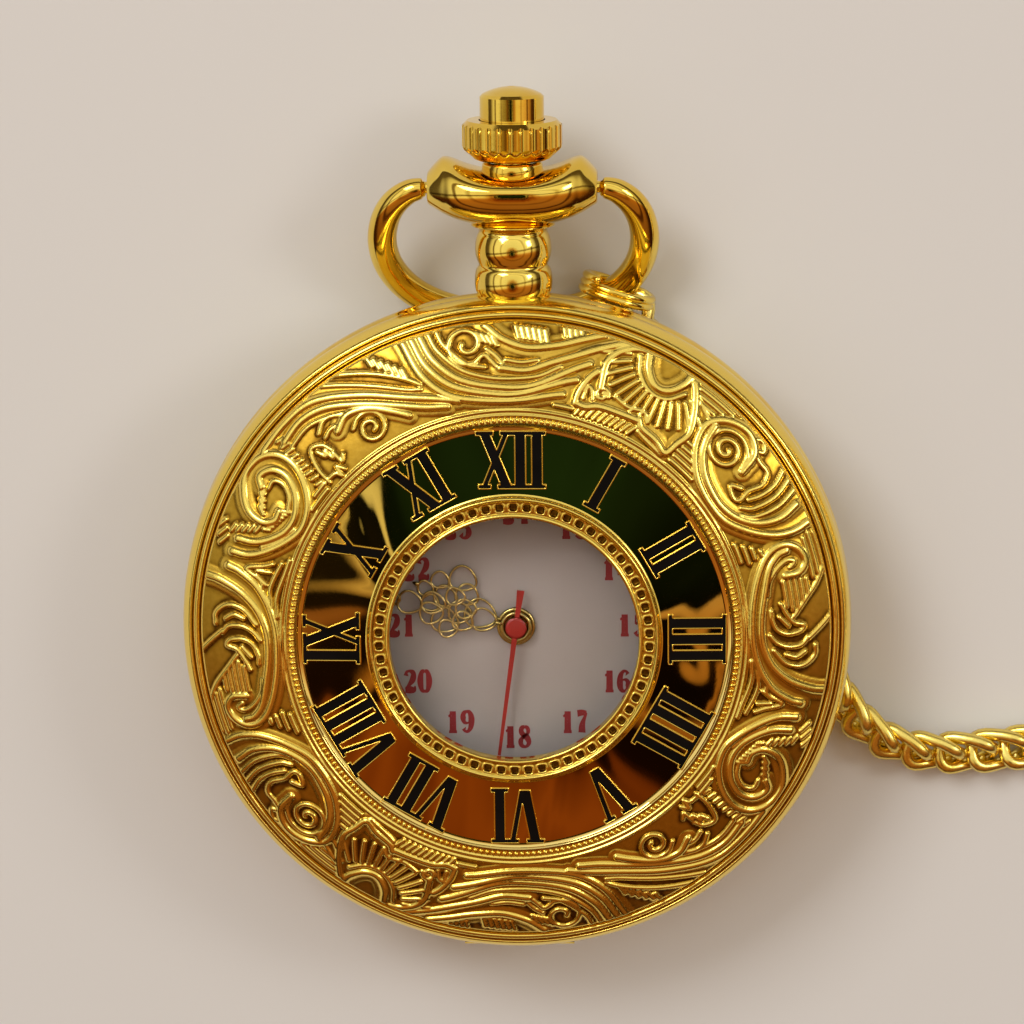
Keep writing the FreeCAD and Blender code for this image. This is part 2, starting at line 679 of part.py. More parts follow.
def make_dial_side():
    bezel = turned("bezel_turned", [
        (D.bezel_bore, D.recess_z),
        (D.bezel_outer, D.recess_z),
        (D.bezel_outer, D.seat_z),
        (D.bezel_lip, D.seat_z + 0.3),
        (D.bezel_lip, D.bezel_top),
        (D.bezel_seat, D.bezel_top),
        (D.bezel_seat, D.seat_z),
        (D.bezel_window, D.seat_z),
        (D.bezel_window, D.dial_z + D.dial_height),
        (D.bezel_bore, D.dial_z + D.dial_height),
    ])
    latch_room = box((D.latch_width + 0.3, 2.6, 1.0),
                     (-(D.latch_width / 2) - 0.15, 18.5, D.recess_z - GAP))
    name_part(cut(bezel, latch_room), "inner_bezel")
    under_rise = D.bezel_top + 0.35 - D.seat_z
    crystal = turned("crystal_turned", [
        (0, D.bezel_top + 0.35),
        (D.crystal_radius - D.crystal_edge, D.seat_z,
         dome_curve(D.crystal_radius - D.crystal_edge, under_rise), -1),
        (D.crystal_radius, D.seat_z),
        (D.crystal_radius, D.bezel_top - 0.3),
        (0, D.bezel_top + 1.0, dome_curve(D.crystal_radius, D.crystal_rise), 1),
    ])
    name_part(crystal, "dial_crystal")
    name_part(ring(D.dial_radius, D.dial_hole, D.dial_height, (0, 0, D.dial_z)), "dial")
    holder = turned("holder_turned", [
        (D.movement_radius + GAP, D.holder_z),
        (D.dial_radius - GAP, D.holder_z),
        (D.dial_radius - GAP, D.snap_z + GAP),
        (D.snap_outer, D.snap_z + GAP),
        (D.snap_outer, D.recess_z - SLIM_GAP),
        (D.dial_radius, D.recess_z - SLIM_GAP),
        (D.dial_radius, D.dial_z),
        (D.movement_radius + GAP, D.dial_z),
    ])
    stem_way = cylinder(D.stem_radius + 0.15, 6.5, (0, 14.0, D.axis_z), "Y")
    pinion_way = cylinder(D.pinion_way, 2.8, (0, 12.0, D.axis_z), "Y")
    latch_way = box((D.latch_width + 0.3, 2.0, 2.2), (-(D.latch_width / 2) - 0.15, 18.4, 6.0))
    name_part(cut(holder, pinion_way, stem_way, latch_way), "movement_holder")


def arm(length, width, start, z_low, angle):
    """A hand's straight bar along an angle about the centre."""
    bar = box((length, width, D.hand_height), (0, 0, 0))
    turn = Rotation(Vector(0, 0, 1), angle)
    spot = turn.multVec(Vector(start, -width / 2, 0))
    bar.Placement = Placement(Vector(spot.x, spot.y, z_low.value), turn)
    for letter, number in zip("xyz", (spot.x, spot.y, z_low)):
        bind(bar, f"Placement.Base.{letter}", number)
    return bar


# Openwork rings of each hand: (reach, sideways, radius) from the centre of the dial.
HOUR_RINGS = ((2.6, 0.2, 1.0), (4.0, 0.66, 0.74), (4.0, -0.66, 0.74), (4.7, 1.62, 0.86),
              (4.7, -1.62, 0.86), (5.35, 0.0, 0.72), (6.15, 0.9, 0.58), (6.15, -0.9, 0.58),
              (6.9, 0.0, 0.5))
MINUTE_RINGS = ((2.27, 0.0, 0.78), (3.7, 0.48, 0.66), (3.7, -0.48, 0.66), (4.6, 1.17, 0.6),
                (4.6, -1.17, 0.6), (6.0, 0.36, 0.75), (6.0, -0.36, 0.75), (7.6, 0.0, 0.78),
                (8.9, 0.0, 0.5))
RING_HALF = 0.1


def loops(places, z_low, angle):
    """The openwork rings of a hand, turned to its angle."""
    turn = Rotation(Vector(0, 0, 1), angle)
    made = []
    for reach, sideways, radius in places:
        spot = turn.multVec(Vector(reach, sideways, 0))
        made.append(ring(radius + RING_HALF, radius - RING_HALF, D.hand_height,
                         (spot.x, spot.y, z_low)))
    return made


def make_hands():
    hour = D.hour_hand_angle.value
    parts = [ring(1.25, 0.75, D.hand_height, (0, 0, D.hour_hand_z)),
             arm(6.6, 0.3, 1.1, D.hour_hand_z, hour)]
    parts += loops(HOUR_RINGS, D.hour_hand_z, hour)
    name_part(fuse(*parts), "hour_hand")
    minute = D.minute_hand_angle.value
    parts = [ring(1.0, 0.42, D.hand_height, (0, 0, D.minute_hand_z)),
             arm(13.4, 0.3, 0.8, D.minute_hand_z, minute)]
    parts += loops(MINUTE_RINGS, D.minute_hand_z, minute)
    name_part(fuse(*parts), "minute_hand")
    second = D.second_hand_angle.value
    hub = cylinder(0.7, D.hand_height + 0.08, (0, 0, D.second_hand_z))
    bar = arm(12.2, 0.4, -2.8, D.second_hand_z, second)
    bore = cylinder(0.2, 0.1, (0, 0, D.second_hand_z))
    name_part(cut(fuse(hub, bar), bore), "second_hand")


# ---------------------------------------------------------------- movement

def gear_solid(tip, foot, teeth, height, bore=0.0):
    """A toothed wheel about its own Z, with straight-sided teeth."""
    corners = []
    for index in range(teeth):
        for part_turn, radius in ((0.0, foot), (0.3, tip), (0.5, tip), (0.8, foot)):
            angle = 2 * math.pi * (index + part_turn) / teeth
            corners.append(Vector(radius * math.cos(angle), radius * math.sin(angle), 0))
    solid = Part.Face(Part.makePolygon(corners + corners[:1])).extrude(Vector(0, 0, height))
    if bore:
        solid = solid.cut(Part.makeCylinder(bore, height))
    return solid


def wheel(label, spot, stages, arbor):
    """A wheel and its pinions on one arbor.

    Each stage is (tip radius, teeth, low z, height); the arbor is (radius, low z, high z, bore).
    """
    radius, low, high, bore = arbor
    solid = Part.makeCylinder(radius, high - low, Vector(0, 0, low))
    for tip, teeth, stage_z, height in stages:
        tooth = min(0.25, tip * 0.22)
        disc = gear_solid(tip, tip - tooth, teeth, height)
        disc.translate(Vector(0, 0, stage_z))
        solid = solid.fuse(disc)
    if bore:
        solid = solid.cut(Part.makeCylinder(bore, high - low, Vector(0, 0, low)))
    shaped(label, solid.removeSplitter(), Placement(Vector(*spot, 0), Rotation()))


THIRD_SPOT = (2.6, -2.27)
STEP_SPOT = (-2.2, -2.2)
ROTOR_SPOT = (-4.15, -4.05)
MINUTE_SPOT = (-2.0, 1.9)
PIVOT = 0.13
PIVOT_HOLE = 0.17


def make_train():
    """The wheels between the motor and the hands. Teeth stop a hair short of each other."""
    low = D.bridge_z.value + 0.1
    high = D.plate_z.value
    top = D.second_hand_z.value + 0.1
    wheel("second_wheel", (0, 0), ((2.6, 40, 4.15, 0.2), (0.4, 8, 4.45, 0.5)),
          (0.2, low, top, 0))
    wheel("third_wheel", THIRD_SPOT, ((2.99, 64, 4.55, 0.2), (0.4, 8, 5.0, 0.5)),
          (PIVOT, low, high + 0.3, 0))
    wheel("centre_wheel", (0, 0), ((2.99, 60, 5.12, 0.2), (0.8, 12, 6.9, 0.3)),
          (0.42, 5.02, D.minute_hand_z.value + 0.1, 0.24))
    wheel("step_wheel", STEP_SPOT, ((2.2, 36, 3.98, 0.12), (0.45, 8, 4.12, 0.3)),
          (PIVOT, low, high + 0.3, 0))
    wheel("rotor", ROTOR_SPOT, ((0.4, 6, 3.92, 0.25),), (PIVOT, low, high + 0.3, 0))
    wheel("minute_wheel", MINUTE_SPOT, ((1.86, 36, 6.95, 0.18), (0.55, 8, 7.2, 0.45)),
          (0.25, 6.62, 7.75, 0))
    wheel("hour_wheel", (0, 0), ((2.14, 32, 7.35, 0.2),),
          (0.75, 7.3, D.hour_hand_z.value + 0.1, 0.46))
    magnet = Part.makeCylinder(0.75, 0.55, Vector(0, 0, 4.5))
    magnet = magnet.cut(Part.makeCylinder(PIVOT, 0.55, Vector(0, 0, 4.5)))
    shaped("rotor_magnet", magnet, Placement(Vector(*ROTOR_SPOT, 0), Rotation()))


BATTERY_SPOT = (6.2, 5.6)


def make_plates():
    """The main plate under the dial, and the bridge that holds the train's back pivots."""
    z_low = D.plate_z
    plate = cylinder(D.movement_radius, D.plate_height, (0, 0, z_low))
    tools = [cylinder(0.5, D.plate_height, (0, 0, z_low)),
             box((2.4, 4.5, 1.2), (-1.2, D.movement_radius - 3.5, z_low + 0.1))]
    for spot in (THIRD_SPOT, STEP_SPOT, ROTOR_SPOT):
        tools.append(cylinder(PIVOT_HOLE, D.plate_height, (*spot, z_low)))
    post = cylinder(0.2, 0.02, (*MINUTE_SPOT, z_low + D.plate_height))
    name_part(fuse(cut(plate, *tools), post), "main_plate")
    bridge = box((8.4, 8.0, D.bridge_height), (-5.2, -5.4, D.bridge_z))
    tools = [cylinder(PIVOT_HOLE + 0.08, D.bridge_height, (0, 0, D.bridge_z))]
    for spot in (THIRD_SPOT, STEP_SPOT, ROTOR_SPOT):
        tools.append(cylinder(PIVOT_HOLE, D.bridge_height, (*spot, D.bridge_z)))
    pillars = []
    for x, y in ((-4.9, 2.2), (2.8, 2.2), (-5.0, -1.2)):
        pillars.append(cylinder(0.35, D.plate_z - D.bridge_z, (x, y, D.bridge_z)))
    name_part(fuse(cut(bridge, *tools), *pillars), "train_bridge")


def make_motor():
    """The stepping motor's coil and stator, round the rotor."""
    x, y = ROTOR_SPOT
    stator_z = 4.55
    coil_x = x - 6.05
    core = cylinder(0.5, 7.6, (coil_x, y + 0.9, stator_z), "Y")
    name_part(core, "coil_core")
    winding = ring(1.05, 0.5, 6.6, (coil_x, y + 1.1, stator_z), "Y")
    name_part(winding, "drive_coil")
    yoke = box((7.6, 2.4, 0.5), (x - 6.1, y - 1.5, stator_z))
    foot = box((0.9, 2.4, 0.5), (x - 7.0, y - 1.5, stator_z))
    hole = cylinder(0.85 + 0.1, 0.5, (x, y, stator_z))
    name_part(cut(fuse(yoke, foot), hole), "stator")


def make_electronics():
    board = box((9.0, 4.2, 0.35), (-9.5, 5.4, D.bridge_z + 0.4))
    name_part(board, "circuit_board")
    can = cylinder(0.7, 5.0, (-8.4, 7.2, D.bridge_z + 1.48), "X")
    name_part(can, "quartz_can")
    battery_z = D.plate_z - D.battery_height
    cell = cylinder(D.battery_radius, D.battery_height, (*BATTERY_SPOT, battery_z))
    name_part(cell, "battery")
    x, y = BATTERY_SPOT
    strap = box((8.4, 1.6, 0.25), (x - 4.2, y - 0.8, battery_z - 0.25))
    leg = box((0.5, 1.6, D.battery_height + 0.25), (x + 3.7, y - 0.8, battery_z - 0.25))
    name_part(fuse(strap, leg), "battery_clamp")
    screws = []
    for spot in ((-4.3, 1.6), (1.6, -5.9), (9.0, -2.5), (-9.0, 3.6)):
        head = cylinder(0.7, 0.4, (*spot, D.bridge_z - 0.4))
        screws.append(head)
    name_part(group(*screws), "movement_screws")


# ---------------------------------------------------------------- build

def check_objects():
    """Stops on any failed object or bad shape."""
    for obj in doc.Objects:
        if "Invalid" in obj.State or "Error" in obj.State:
            raise RuntimeError(f"{obj.Name} ({obj.Label}) failed: {obj.State}")
    for label, obj in FINISHED.items():
        shape = obj.Shape
        if shape.isNull() or not shape.isValid():
            raise RuntimeError(f"{label} has no valid shape")
        if not shape.Solids:
            raise RuntimeError(f"{label} holds no solid")


def export_parts():
    os.makedirs("parts", exist_ok=True)
    for label, obj in FINISHED.items():
        obj.Shape.exportStep(os.path.join("parts", label + ".step"))
    print(len(FINISHED), "parts written")


def main():
    make_back_cover()
    make_case_middle()
    make_lift_spring()
    make_front_lid()
    make_window()
    make_numerals()
    make_pendant()
    make_crown()
    make_stem()
    make_button()
    make_button_spring()
    make_latch()
    make_bow()
    make_split_ring()
    make_chain()
    make_dial_side()
    make_hands()
    make_train()
    make_plates()
    make_motor()
    make_electronics()
    doc.recompute()
    check_objects()
    export_parts()


main()
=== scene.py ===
"""Looks of the half-hunter pocket watch: engraved lid, dial, hands, pendant, bow and chain.

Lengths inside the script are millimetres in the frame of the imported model, and become metres
where a mesh is made.
"""

import json
import math

import bpy
import numpy as np
from mathutils import Matrix, Vector


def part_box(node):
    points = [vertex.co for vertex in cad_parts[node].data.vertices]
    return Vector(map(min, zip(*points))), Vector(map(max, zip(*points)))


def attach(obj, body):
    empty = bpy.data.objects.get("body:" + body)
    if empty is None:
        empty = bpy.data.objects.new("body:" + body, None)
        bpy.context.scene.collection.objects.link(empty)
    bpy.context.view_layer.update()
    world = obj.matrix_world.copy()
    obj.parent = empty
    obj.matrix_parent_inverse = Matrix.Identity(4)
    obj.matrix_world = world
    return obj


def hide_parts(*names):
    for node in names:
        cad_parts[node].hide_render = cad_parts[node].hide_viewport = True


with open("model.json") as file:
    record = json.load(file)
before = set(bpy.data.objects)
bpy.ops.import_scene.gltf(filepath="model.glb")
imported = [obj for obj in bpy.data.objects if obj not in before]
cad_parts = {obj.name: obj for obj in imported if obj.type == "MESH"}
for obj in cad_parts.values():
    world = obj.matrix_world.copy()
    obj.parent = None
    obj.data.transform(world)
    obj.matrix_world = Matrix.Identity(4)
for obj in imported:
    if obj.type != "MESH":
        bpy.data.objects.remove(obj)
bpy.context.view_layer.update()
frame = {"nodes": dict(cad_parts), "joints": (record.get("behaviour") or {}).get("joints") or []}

MM = 0.001
TAU = 2 * math.pi

# ------------------------------------------------------------ places taken from the frame


def node_box(node):
    """Lowest and highest corner of a node, in millimetres."""
    low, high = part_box(node)
    return low / MM, high / MM


def joint_place(name):
    joint = next(j for j in frame["joints"] if j["name"] == name)
    return Vector(joint["pos_m"]) / MM


BOW_AXIS = joint_place("bow_swing")
NUMERAL_Z = node_box("window_bezel")[0].z
INLAY_TOP = node_box("numeral_inlays")[1].z
DIAL_TOP = node_box("dial")[1].z
HOUR_Z = node_box("hour_hand")[0].z
MINUTE_Z = node_box("minute_hand")[0].z
SECOND_Z = node_box("second_hand")[0].z
COIL_LOW, COIL_HIGH = node_box("chain_coil")

# ------------------------------------------------------------ mesh helpers


def add_mesh(name, points, faces, material, body, smooth=True):
    """A mesh piece from points in millimetres, riding on a body."""
    mesh = bpy.data.meshes.new(name)
    mesh.from_pydata((np.asarray(points, float) * MM).tolist(), [], faces)
    mesh.polygons.foreach_set("use_smooth", [smooth] * len(mesh.polygons))
    mesh.update()
    piece = bpy.data.objects.new(name, mesh)
    bpy.context.scene.collection.objects.link(piece)
    mesh.materials.append(material)
    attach(piece, body)
    return piece


def grid_faces(rows, columns, closed_rows=False, closed_columns=True):
    """Quads over a grid of points stored row after row."""
    faces = []
    for i in range(rows if closed_rows else rows - 1):
        for j in range(columns if closed_columns else columns - 1):
            a = i * columns + j
            b = i * columns + (j + 1) % columns
            c = (i + 1) % rows * columns + (j + 1) % columns
            d = (i + 1) % rows * columns + j
            faces.append((a, b, c, d))
    return faces


def smooth_profile(points, steps=4):
    """A Catmull-Rom line through the points."""
    points = np.asarray(points, float)
    padded = np.vstack([2 * points[0] - points[1], points, 2 * points[-1] - points[-2]])
    line = []
    for before, start, end, after in zip(padded, padded[1:], padded[2:], padded[3:]):
        for share in np.arange(steps) / steps:
            line.append(0.5 * (2 * start + (end - before) * share
                               + (2 * before - 5 * start + 4 * end - after) * share ** 2
                               + (3 * start - before - 3 * end + after) * share ** 3))
    return np.array(line + [points[-1]])


def heading(angle):
    """Unit vectors in the floor's plane: along an angle in radians, and square to it."""
    along = np.array([math.cos(angle), math.sin(angle), 0])
    return along, np.array([-along[1], along[0], 0])


def turned(radii, angles, height):
    """A grid of points: each radius at each angle, at heights of the grid or of its rows."""
    radii = np.asarray(radii, float).reshape(len(radii), -1)
    across, up = radii * np.cos(angles), radii * np.sin(angles)
    return np.stack([across, up, np.broadcast_to(height, across.shape)], -1)


def lathe_points(profile, count, centre=(0, 0, 0), along="Z"):
    """Points of a profile of (radius, height) turned about an axis through centre."""
    profile = np.asarray(profile, float)
    grid = turned(profile[:, 0], np.arange(count) * TAU / count, profile[:, 1:2])
    if along == "Y":
        grid = grid[..., [0, 2, 1]] * (1, 1, -1)
    return grid.reshape(-1, 3) + np.asarray(centre, float)


def flipped(faces):
    """The faces, looking the other way."""
    return [face[::-1] for face in faces]


def strip_faces(count):
    """Quads of a strip whose points are stored in pairs."""
    return [(2 * i, 2 * i + 2, 2 * i + 3, 2 * i + 1) for i in range(count - 1)]


def lathe_part(profile, count, centre=(0, 0, 0), along="Z", closed=False):
    """Points and faces of a turned profile, facing outwards about either axis."""
    faces = grid_faces(len(profile), count, closed_rows=closed)
    return (lathe_points(profile, count, centre, along),
            flipped(faces) if along == "Y" else faces)


def join_parts(parts):
    """One list of points and faces from several."""
    points = []
    faces = []
    for part_points, part_faces in parts:
        start = len(points)
        points.extend(np.asarray(part_points, float).tolist())
        faces.extend([tuple(i + start for i in face) for face in part_faces])
    return points, faces


def add_parts(name, parts, material, body, smooth=True):
    """One mesh piece from several lists of points and faces."""
    points, faces = join_parts(parts)
    return add_mesh(name, points, faces, material, body, smooth)


def tube_part(line, radius, sides=10, closed=False, flat=1.0):
    """Points and faces of a tube along a line. Radius is a number or one per point."""
    line = np.asarray(line, float)
    count = len(line)
    radii = np.broadcast_to(np.asarray(radius, float), (count,))
    if closed:
        ahead = np.roll(line, -1, 0) - np.roll(line, 1, 0)
    else:
        ahead = np.gradient(line, axis=0)
    ahead /= np.linalg.norm(ahead, axis=1)[:, None]
    side = np.cross(ahead[0], (0, 0, 1.0))
    if np.linalg.norm(side) < 0.1:
        side = np.cross(ahead[0], (0, 1.0, 0))
    rings = []
    angles = np.arange(sides) * TAU / sides
    for place, way, thick in zip(line, ahead, radii):
        side = side - way * (side @ way)
        side /= np.linalg.norm(side)
        up = np.cross(side, way)
        rings.append(place + thick * (np.cos(angles)[:, None] * side
                                      + flat * np.sin(angles)[:, None] * up))
    points = np.concatenate(rings)
    faces = grid_faces(count, sides, closed_rows=closed)
    if not closed:
        faces.append(tuple(range(sides))[::-1])
        faces.append(tuple(range((count - 1) * sides, count * sides)))
    return points, faces


# ------------------------------------------------------------ materials


def new_material(name):
    material = bpy.data.materials.new(name)
    material.use_nodes = True
    nodes = material.node_tree.nodes
    return material, nodes, material.node_tree.links, nodes["Principled BSDF"]


def noise(nodes, links, scale, detail=4.0, roughness=0.55):
    place = nodes.new("ShaderNodeTexCoord")
    texture = nodes.new("ShaderNodeTexNoise")
    texture.inputs["Scale"].default_value = scale
    texture.inputs["Detail"].default_value = detail
    texture.inputs["Roughness"].default_value = roughness
    links.new(place.outputs["Object"], texture.inputs["Vector"])
    return texture.outputs["Fac"]


def ramp(nodes, links, source, stops):
    """A colour ramp of (place, colour) stops fed by a socket."""
    made = nodes.new("ShaderNodeValToRGB")
    elements = made.color_ramp.elements
    elements[0].position = stops[0][0]
    elements[-1].position = stops[-1][0]
    for place, _ in stops[1:-1]:
        elements.new(place)
    for element, (_, colour) in zip(elements, stops):
        element.color = (*colour, 1)
    links.new(source, made.inputs["Fac"])
    return made.outputs["Color"]


def multiply(nodes, links, first, second):
    mix = nodes.new("ShaderNodeMixRGB")
    mix.blend_type = "MULTIPLY"
    mix.inputs["Fac"].default_value = 1.0
    links.new(first, mix.inputs["Color1"])
    links.new(second, mix.inputs["Color2"])
    return mix.outputs["Color"]


def add_scaled(nodes, links, value, factor, base):
    """One value times a factor, added to another."""
    made = nodes.new("ShaderNodeMath")
    made.operation = "MULTIPLY_ADD"
    made.inputs[1].default_value = factor
    links.new(value, made.inputs[0])
    links.new(base, made.inputs[2])
    return made.outputs["Value"]


def spread(nodes, links, value, low, high, start=0.0, end=1.0):
    """A value that runs from start to end, made to run from low to high."""
    made = nodes.new("ShaderNodeMapRange")
    made.inputs["From Min"].default_value = start
    made.inputs["From Max"].default_value = end
    made.inputs["To Min"].default_value = low
    made.inputs["To Max"].default_value = high
    links.new(value, made.inputs["Value"])
    return made.outputs["Result"]


def add_grain(nodes, links, shader, height, strength, depth):
    """A fine unevenness of the surface, depth in metres."""
    relief = nodes.new("ShaderNodeBump")
    relief.inputs["Strength"].default_value = strength
    relief.inputs["Distance"].default_value = depth
    links.new(height, relief.inputs["Height"])
    links.new(relief.outputs["Normal"], shader.inputs["Normal"])


def mark_raised(piece, values):
    """Stores a tone for each point, for the engraved gold to read: brighter where the work stands
    out, darker as painted shade where it lies low.
    """
    layer = piece.data.attributes.new("raised", "FLOAT", "POINT")
    layer.data.foreach_set("value", np.clip(values, 0, 1).ravel())


def metal(name, dark, light, rough_low, rough_high, patch_scale=160.0, bump=0.02,
          bump_scale=2600.0):
    """A plated metal with cloudy tone, uneven polish and a fine surface grain."""
    material, nodes, links, shader = new_material(name)
    shader.inputs["Metallic"].default_value = 1.0
    patches = noise(nodes, links, patch_scale)
    links.new(ramp(nodes, links, patches, [(0.35, dark), (0.65, light)]),
              shader.inputs["Base Color"])
    polish = noise(nodes, links, patch_scale * 2.7, 6.0)
    links.new(spread(nodes, links, polish, rough_low, rough_high, 0.3, 0.7),
              shader.inputs["Roughness"])
    add_grain(nodes, links, shader, noise(nodes, links, bump_scale, 2.0), bump, 0.00005)
    return material


def plain(name, dark, light, roughness, scale=300.0, bump=0.05, coat=0.0):
    """A painted, moulded or lacquered surface with faint mottling."""
    material, nodes, links, shader = new_material(name)
    patches = noise(nodes, links, scale)
    links.new(ramp(nodes, links, patches, [(0.3, dark), (0.7, light)]),
              shader.inputs["Base Color"])
    shader.inputs["Roughness"].default_value = roughness
    shader.inputs["Coat Weight"].default_value = coat
    add_grain(nodes, links, shader, noise(nodes, links, scale * 9, 2.0), bump, 0.00003)
    return material


def engraved_metal(name):
    """Gold that is polished on the raised work and duller in the ground; its colour is darkened in
    the ground and the hollows as painted shade.
    """
    material, nodes, links, shader = new_material(name)
    shader.inputs["Metallic"].default_value = 1.0
    raised = nodes.new("ShaderNodeAttribute")
    raised.attribute_name = "raised"
    speckle = noise(nodes, links, 2600.0, 3.0)
    tone = add_scaled(nodes, links, speckle, 0.22, raised.outputs["Fac"])
    # The dark end of the ramp is painted shade in the ground, the hollows beside ridges and the
    # rim's grooves.
    links.new(ramp(nodes, links, tone,
                   [(0.10, (0.11, 0.045, 0.004)), (0.36, (0.46, 0.26, 0.025)),
                    (0.62, (0.70, 0.44, 0.06)), (1.0, (0.95, 0.71, 0.15))]),
              shader.inputs["Base Color"])
    links.new(spread(nodes, links, tone, 0.42, 0.16), shader.inputs["Roughness"])
    add_grain(nodes, links, shader, speckle, 0.25, 0.00004)
    return material


def clear_glass(name):
    """Thin clear acrylic: mostly see-through, with faint smears in its gloss."""
    material, nodes, links, shader = new_material(name)
    shader.inputs["Base Color"].default_value = (1, 1, 1, 1)
    shader.inputs["Transmission Weight"].default_value = 1.0
    shader.inputs["IOR"].default_value = 1.05
    smears = noise(nodes, links, 90.0)
    links.new(spread(nodes, links, smears, 0.0, 0.06), shader.inputs["Roughness"])
    return material


GOLD = metal("polished_gold", (0.86, 0.56, 0.07), (0.95, 0.72, 0.15), 0.045, 0.12)
ENGRAVED = engraved_metal("engraved_gold")
MIRROR = metal("mirror_gold", (0.86, 0.64, 0.18), (0.93, 0.72, 0.25), 0.004, 0.02, 60.0, 0.001)
CHAIN_GOLD = metal("chain_gold", (0.92, 0.67, 0.12), (0.98, 0.80, 0.24), 0.2, 0.3)
GILT = metal("gilt_hands", (0.50, 0.38, 0.13), (0.72, 0.58, 0.26), 0.16, 0.28)
STEEL = metal("steel", (0.50, 0.50, 0.51), (0.66, 0.66, 0.66), 0.22, 0.35)
BRASS = metal("brass_wheels", (0.70, 0.52, 0.22), (0.80, 0.62, 0.30), 0.2, 0.35)
COPPER = metal("copper_wire", (0.62, 0.26, 0.13), (0.76, 0.36, 0.2), 0.25, 0.4)
ENAMEL = plain("black_enamel", (0.002, 0.002, 0.002), (0.006, 0.005, 0.005), 0.35, coat=0.05)
ENAMEL.node_tree.nodes["Principled BSDF"].inputs["Specular IOR Level"].default_value = 0.1
# The dial's white is darkened to a greyish brown as painted shade from the lid over it.
DIAL = plain("dial_lacquer_painted_shade", (0.44, 0.39, 0.375), (0.49, 0.435, 0.42), 0.45, 120.0, 0.02)
RED = plain("red_paint", (0.36, 0.02, 0.015), (0.46, 0.03, 0.02), 0.4)
INK_RED = plain("red_ink", (0.27, 0.012, 0.015), (0.36, 0.025, 0.03), 0.6)
INK_BLACK = plain("black_ink", (0.01, 0.01, 0.012), (0.03, 0.03, 0.03), 0.6)
RUBBER = plain("seal_rubber", (0.02, 0.02, 0.02), (0.04, 0.04, 0.04), 0.7)
HOLDER = plain("holder_plastic", (0.70, 0.70, 0.67), (0.78, 0.78, 0.75), 0.5)
BOARD = plain("board_green", (0.02, 0.16, 0.07), (0.04, 0.24, 0.1), 0.4)
GLASS = clear_glass("clear_acrylic")

NODE_MATERIALS = {
    GOLD: ("case_middle", "back_cover", "pendant", "pendant_tube", "hinge_pin", "bow",
           "split_ring", "crown", "crown_button", "front_lid", "window_bezel"),
    GLASS: ("window_glass", "dial_crystal"),
    STEEL: ("lift_spring", "lid_latch", "glass_ring", "setting_stem", "clutch_pinion",
            "button_rod", "button_spring", "train_bridge", "battery_clamp",
            "movement_screws", "stator", "coil_core", "battery", "quartz_can", "rotor_magnet"),
    GILT: ("inner_bezel", "hour_hand", "minute_hand"),
    BRASS: ("main_plate", "second_wheel", "third_wheel", "centre_wheel", "minute_wheel",
            "hour_wheel", "step_wheel", "rotor"),
    RUBBER: ("back_gasket", "crown_gasket"),
    HOLDER: ("movement_holder",),
    DIAL: ("dial",),
    RED: ("second_hand",),
    COPPER: ("drive_coil",),
    BOARD: ("circuit_board",),
    CHAIN_GOLD: ("chain_run", "chain_coil", "end_clasp"),
    ENAMEL: ("numeral_inlays",),
}


def dress_nodes():
    """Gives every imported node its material."""
    for material, names in NODE_MATERIALS.items():
        for name in names:
            data = frame["nodes"][name].data
            data.materials.clear()
            data.materials.append(material)


# ------------------------------------------------------------ engraved lid

DEGREE = 18.5 * math.pi / 180   # millimetres along the field for one degree
FIELD_INNER, FIELD_OUTER = 15.3, 21.77
FIELD_IN_Z, FIELD_OUT_Z = 12.6, 10.35
FIELD_CURVE = 22.0


def field_z(radius):
    """Height of the lid's domed field, an arc between its two edges."""
    chord = np.array([FIELD_OUTER - FIELD_INNER, FIELD_OUT_Z - FIELD_IN_Z])
    half = np.linalg.norm(chord) / 2
    down = np.array([chord[1], -chord[0]]) / (2 * half)
    middle = np.array([FIELD_INNER, FIELD_IN_Z]) + chord / 2
    centre = middle + down * math.sqrt(FIELD_CURVE ** 2 - half ** 2)
    return centre[1] + np.sqrt(FIELD_CURVE ** 2 - (np.asarray(radius) - centre[0]) ** 2)


def spiral(angle, radius, start, end, begin, turns, stretch=1.0, count=10):
    """Points of a spiral about a spot of the field, from one size in millimetres to another."""
    points = []
    steps = max(6, int(count * abs(turns)))
    for step in range(steps + 1):
        share = step / steps
        reach = start + (end - start) * share
        way = math.radians(begin) + TAU * turns * share
        points.append((angle + stretch * reach * math.cos(way) / DEGREE,
                       radius + reach * math.sin(way)))
    return points


def ticks(first, last, count, length, lean):
    """Short strokes spaced between two spots, leaning from the radial way by some degrees."""
    made = []
    for share in np.linspace(0, 1, count):
        angle = first[0] + (last[0] - first[0]) * share
        radius = first[1] + (last[1] - first[1]) * share
        across = 0.5 * length * math.sin(math.radians(lean)) / DEGREE
        along = 0.5 * length * math.cos(math.radians(lean))
        made.append([(angle - across, radius - along), (angle + across, radius + along)])
    return made


def fan(angle, radius, inner, outer, first, last, count):
    """Strokes that point away from a spot, as a shell's flutes do."""
    made = []
    for way in np.radians(np.linspace(first, last, count)):
        made.append([(angle + reach * math.cos(way) / DEGREE, radius + reach * math.sin(way))
                     for reach in (inner, outer)])
    return made


def bars(pairs):
    """Straight strokes along the field: (first angle, last angle, radius)."""
    return [[(first, radius), (last, radius)] for first, last, radius in pairs]


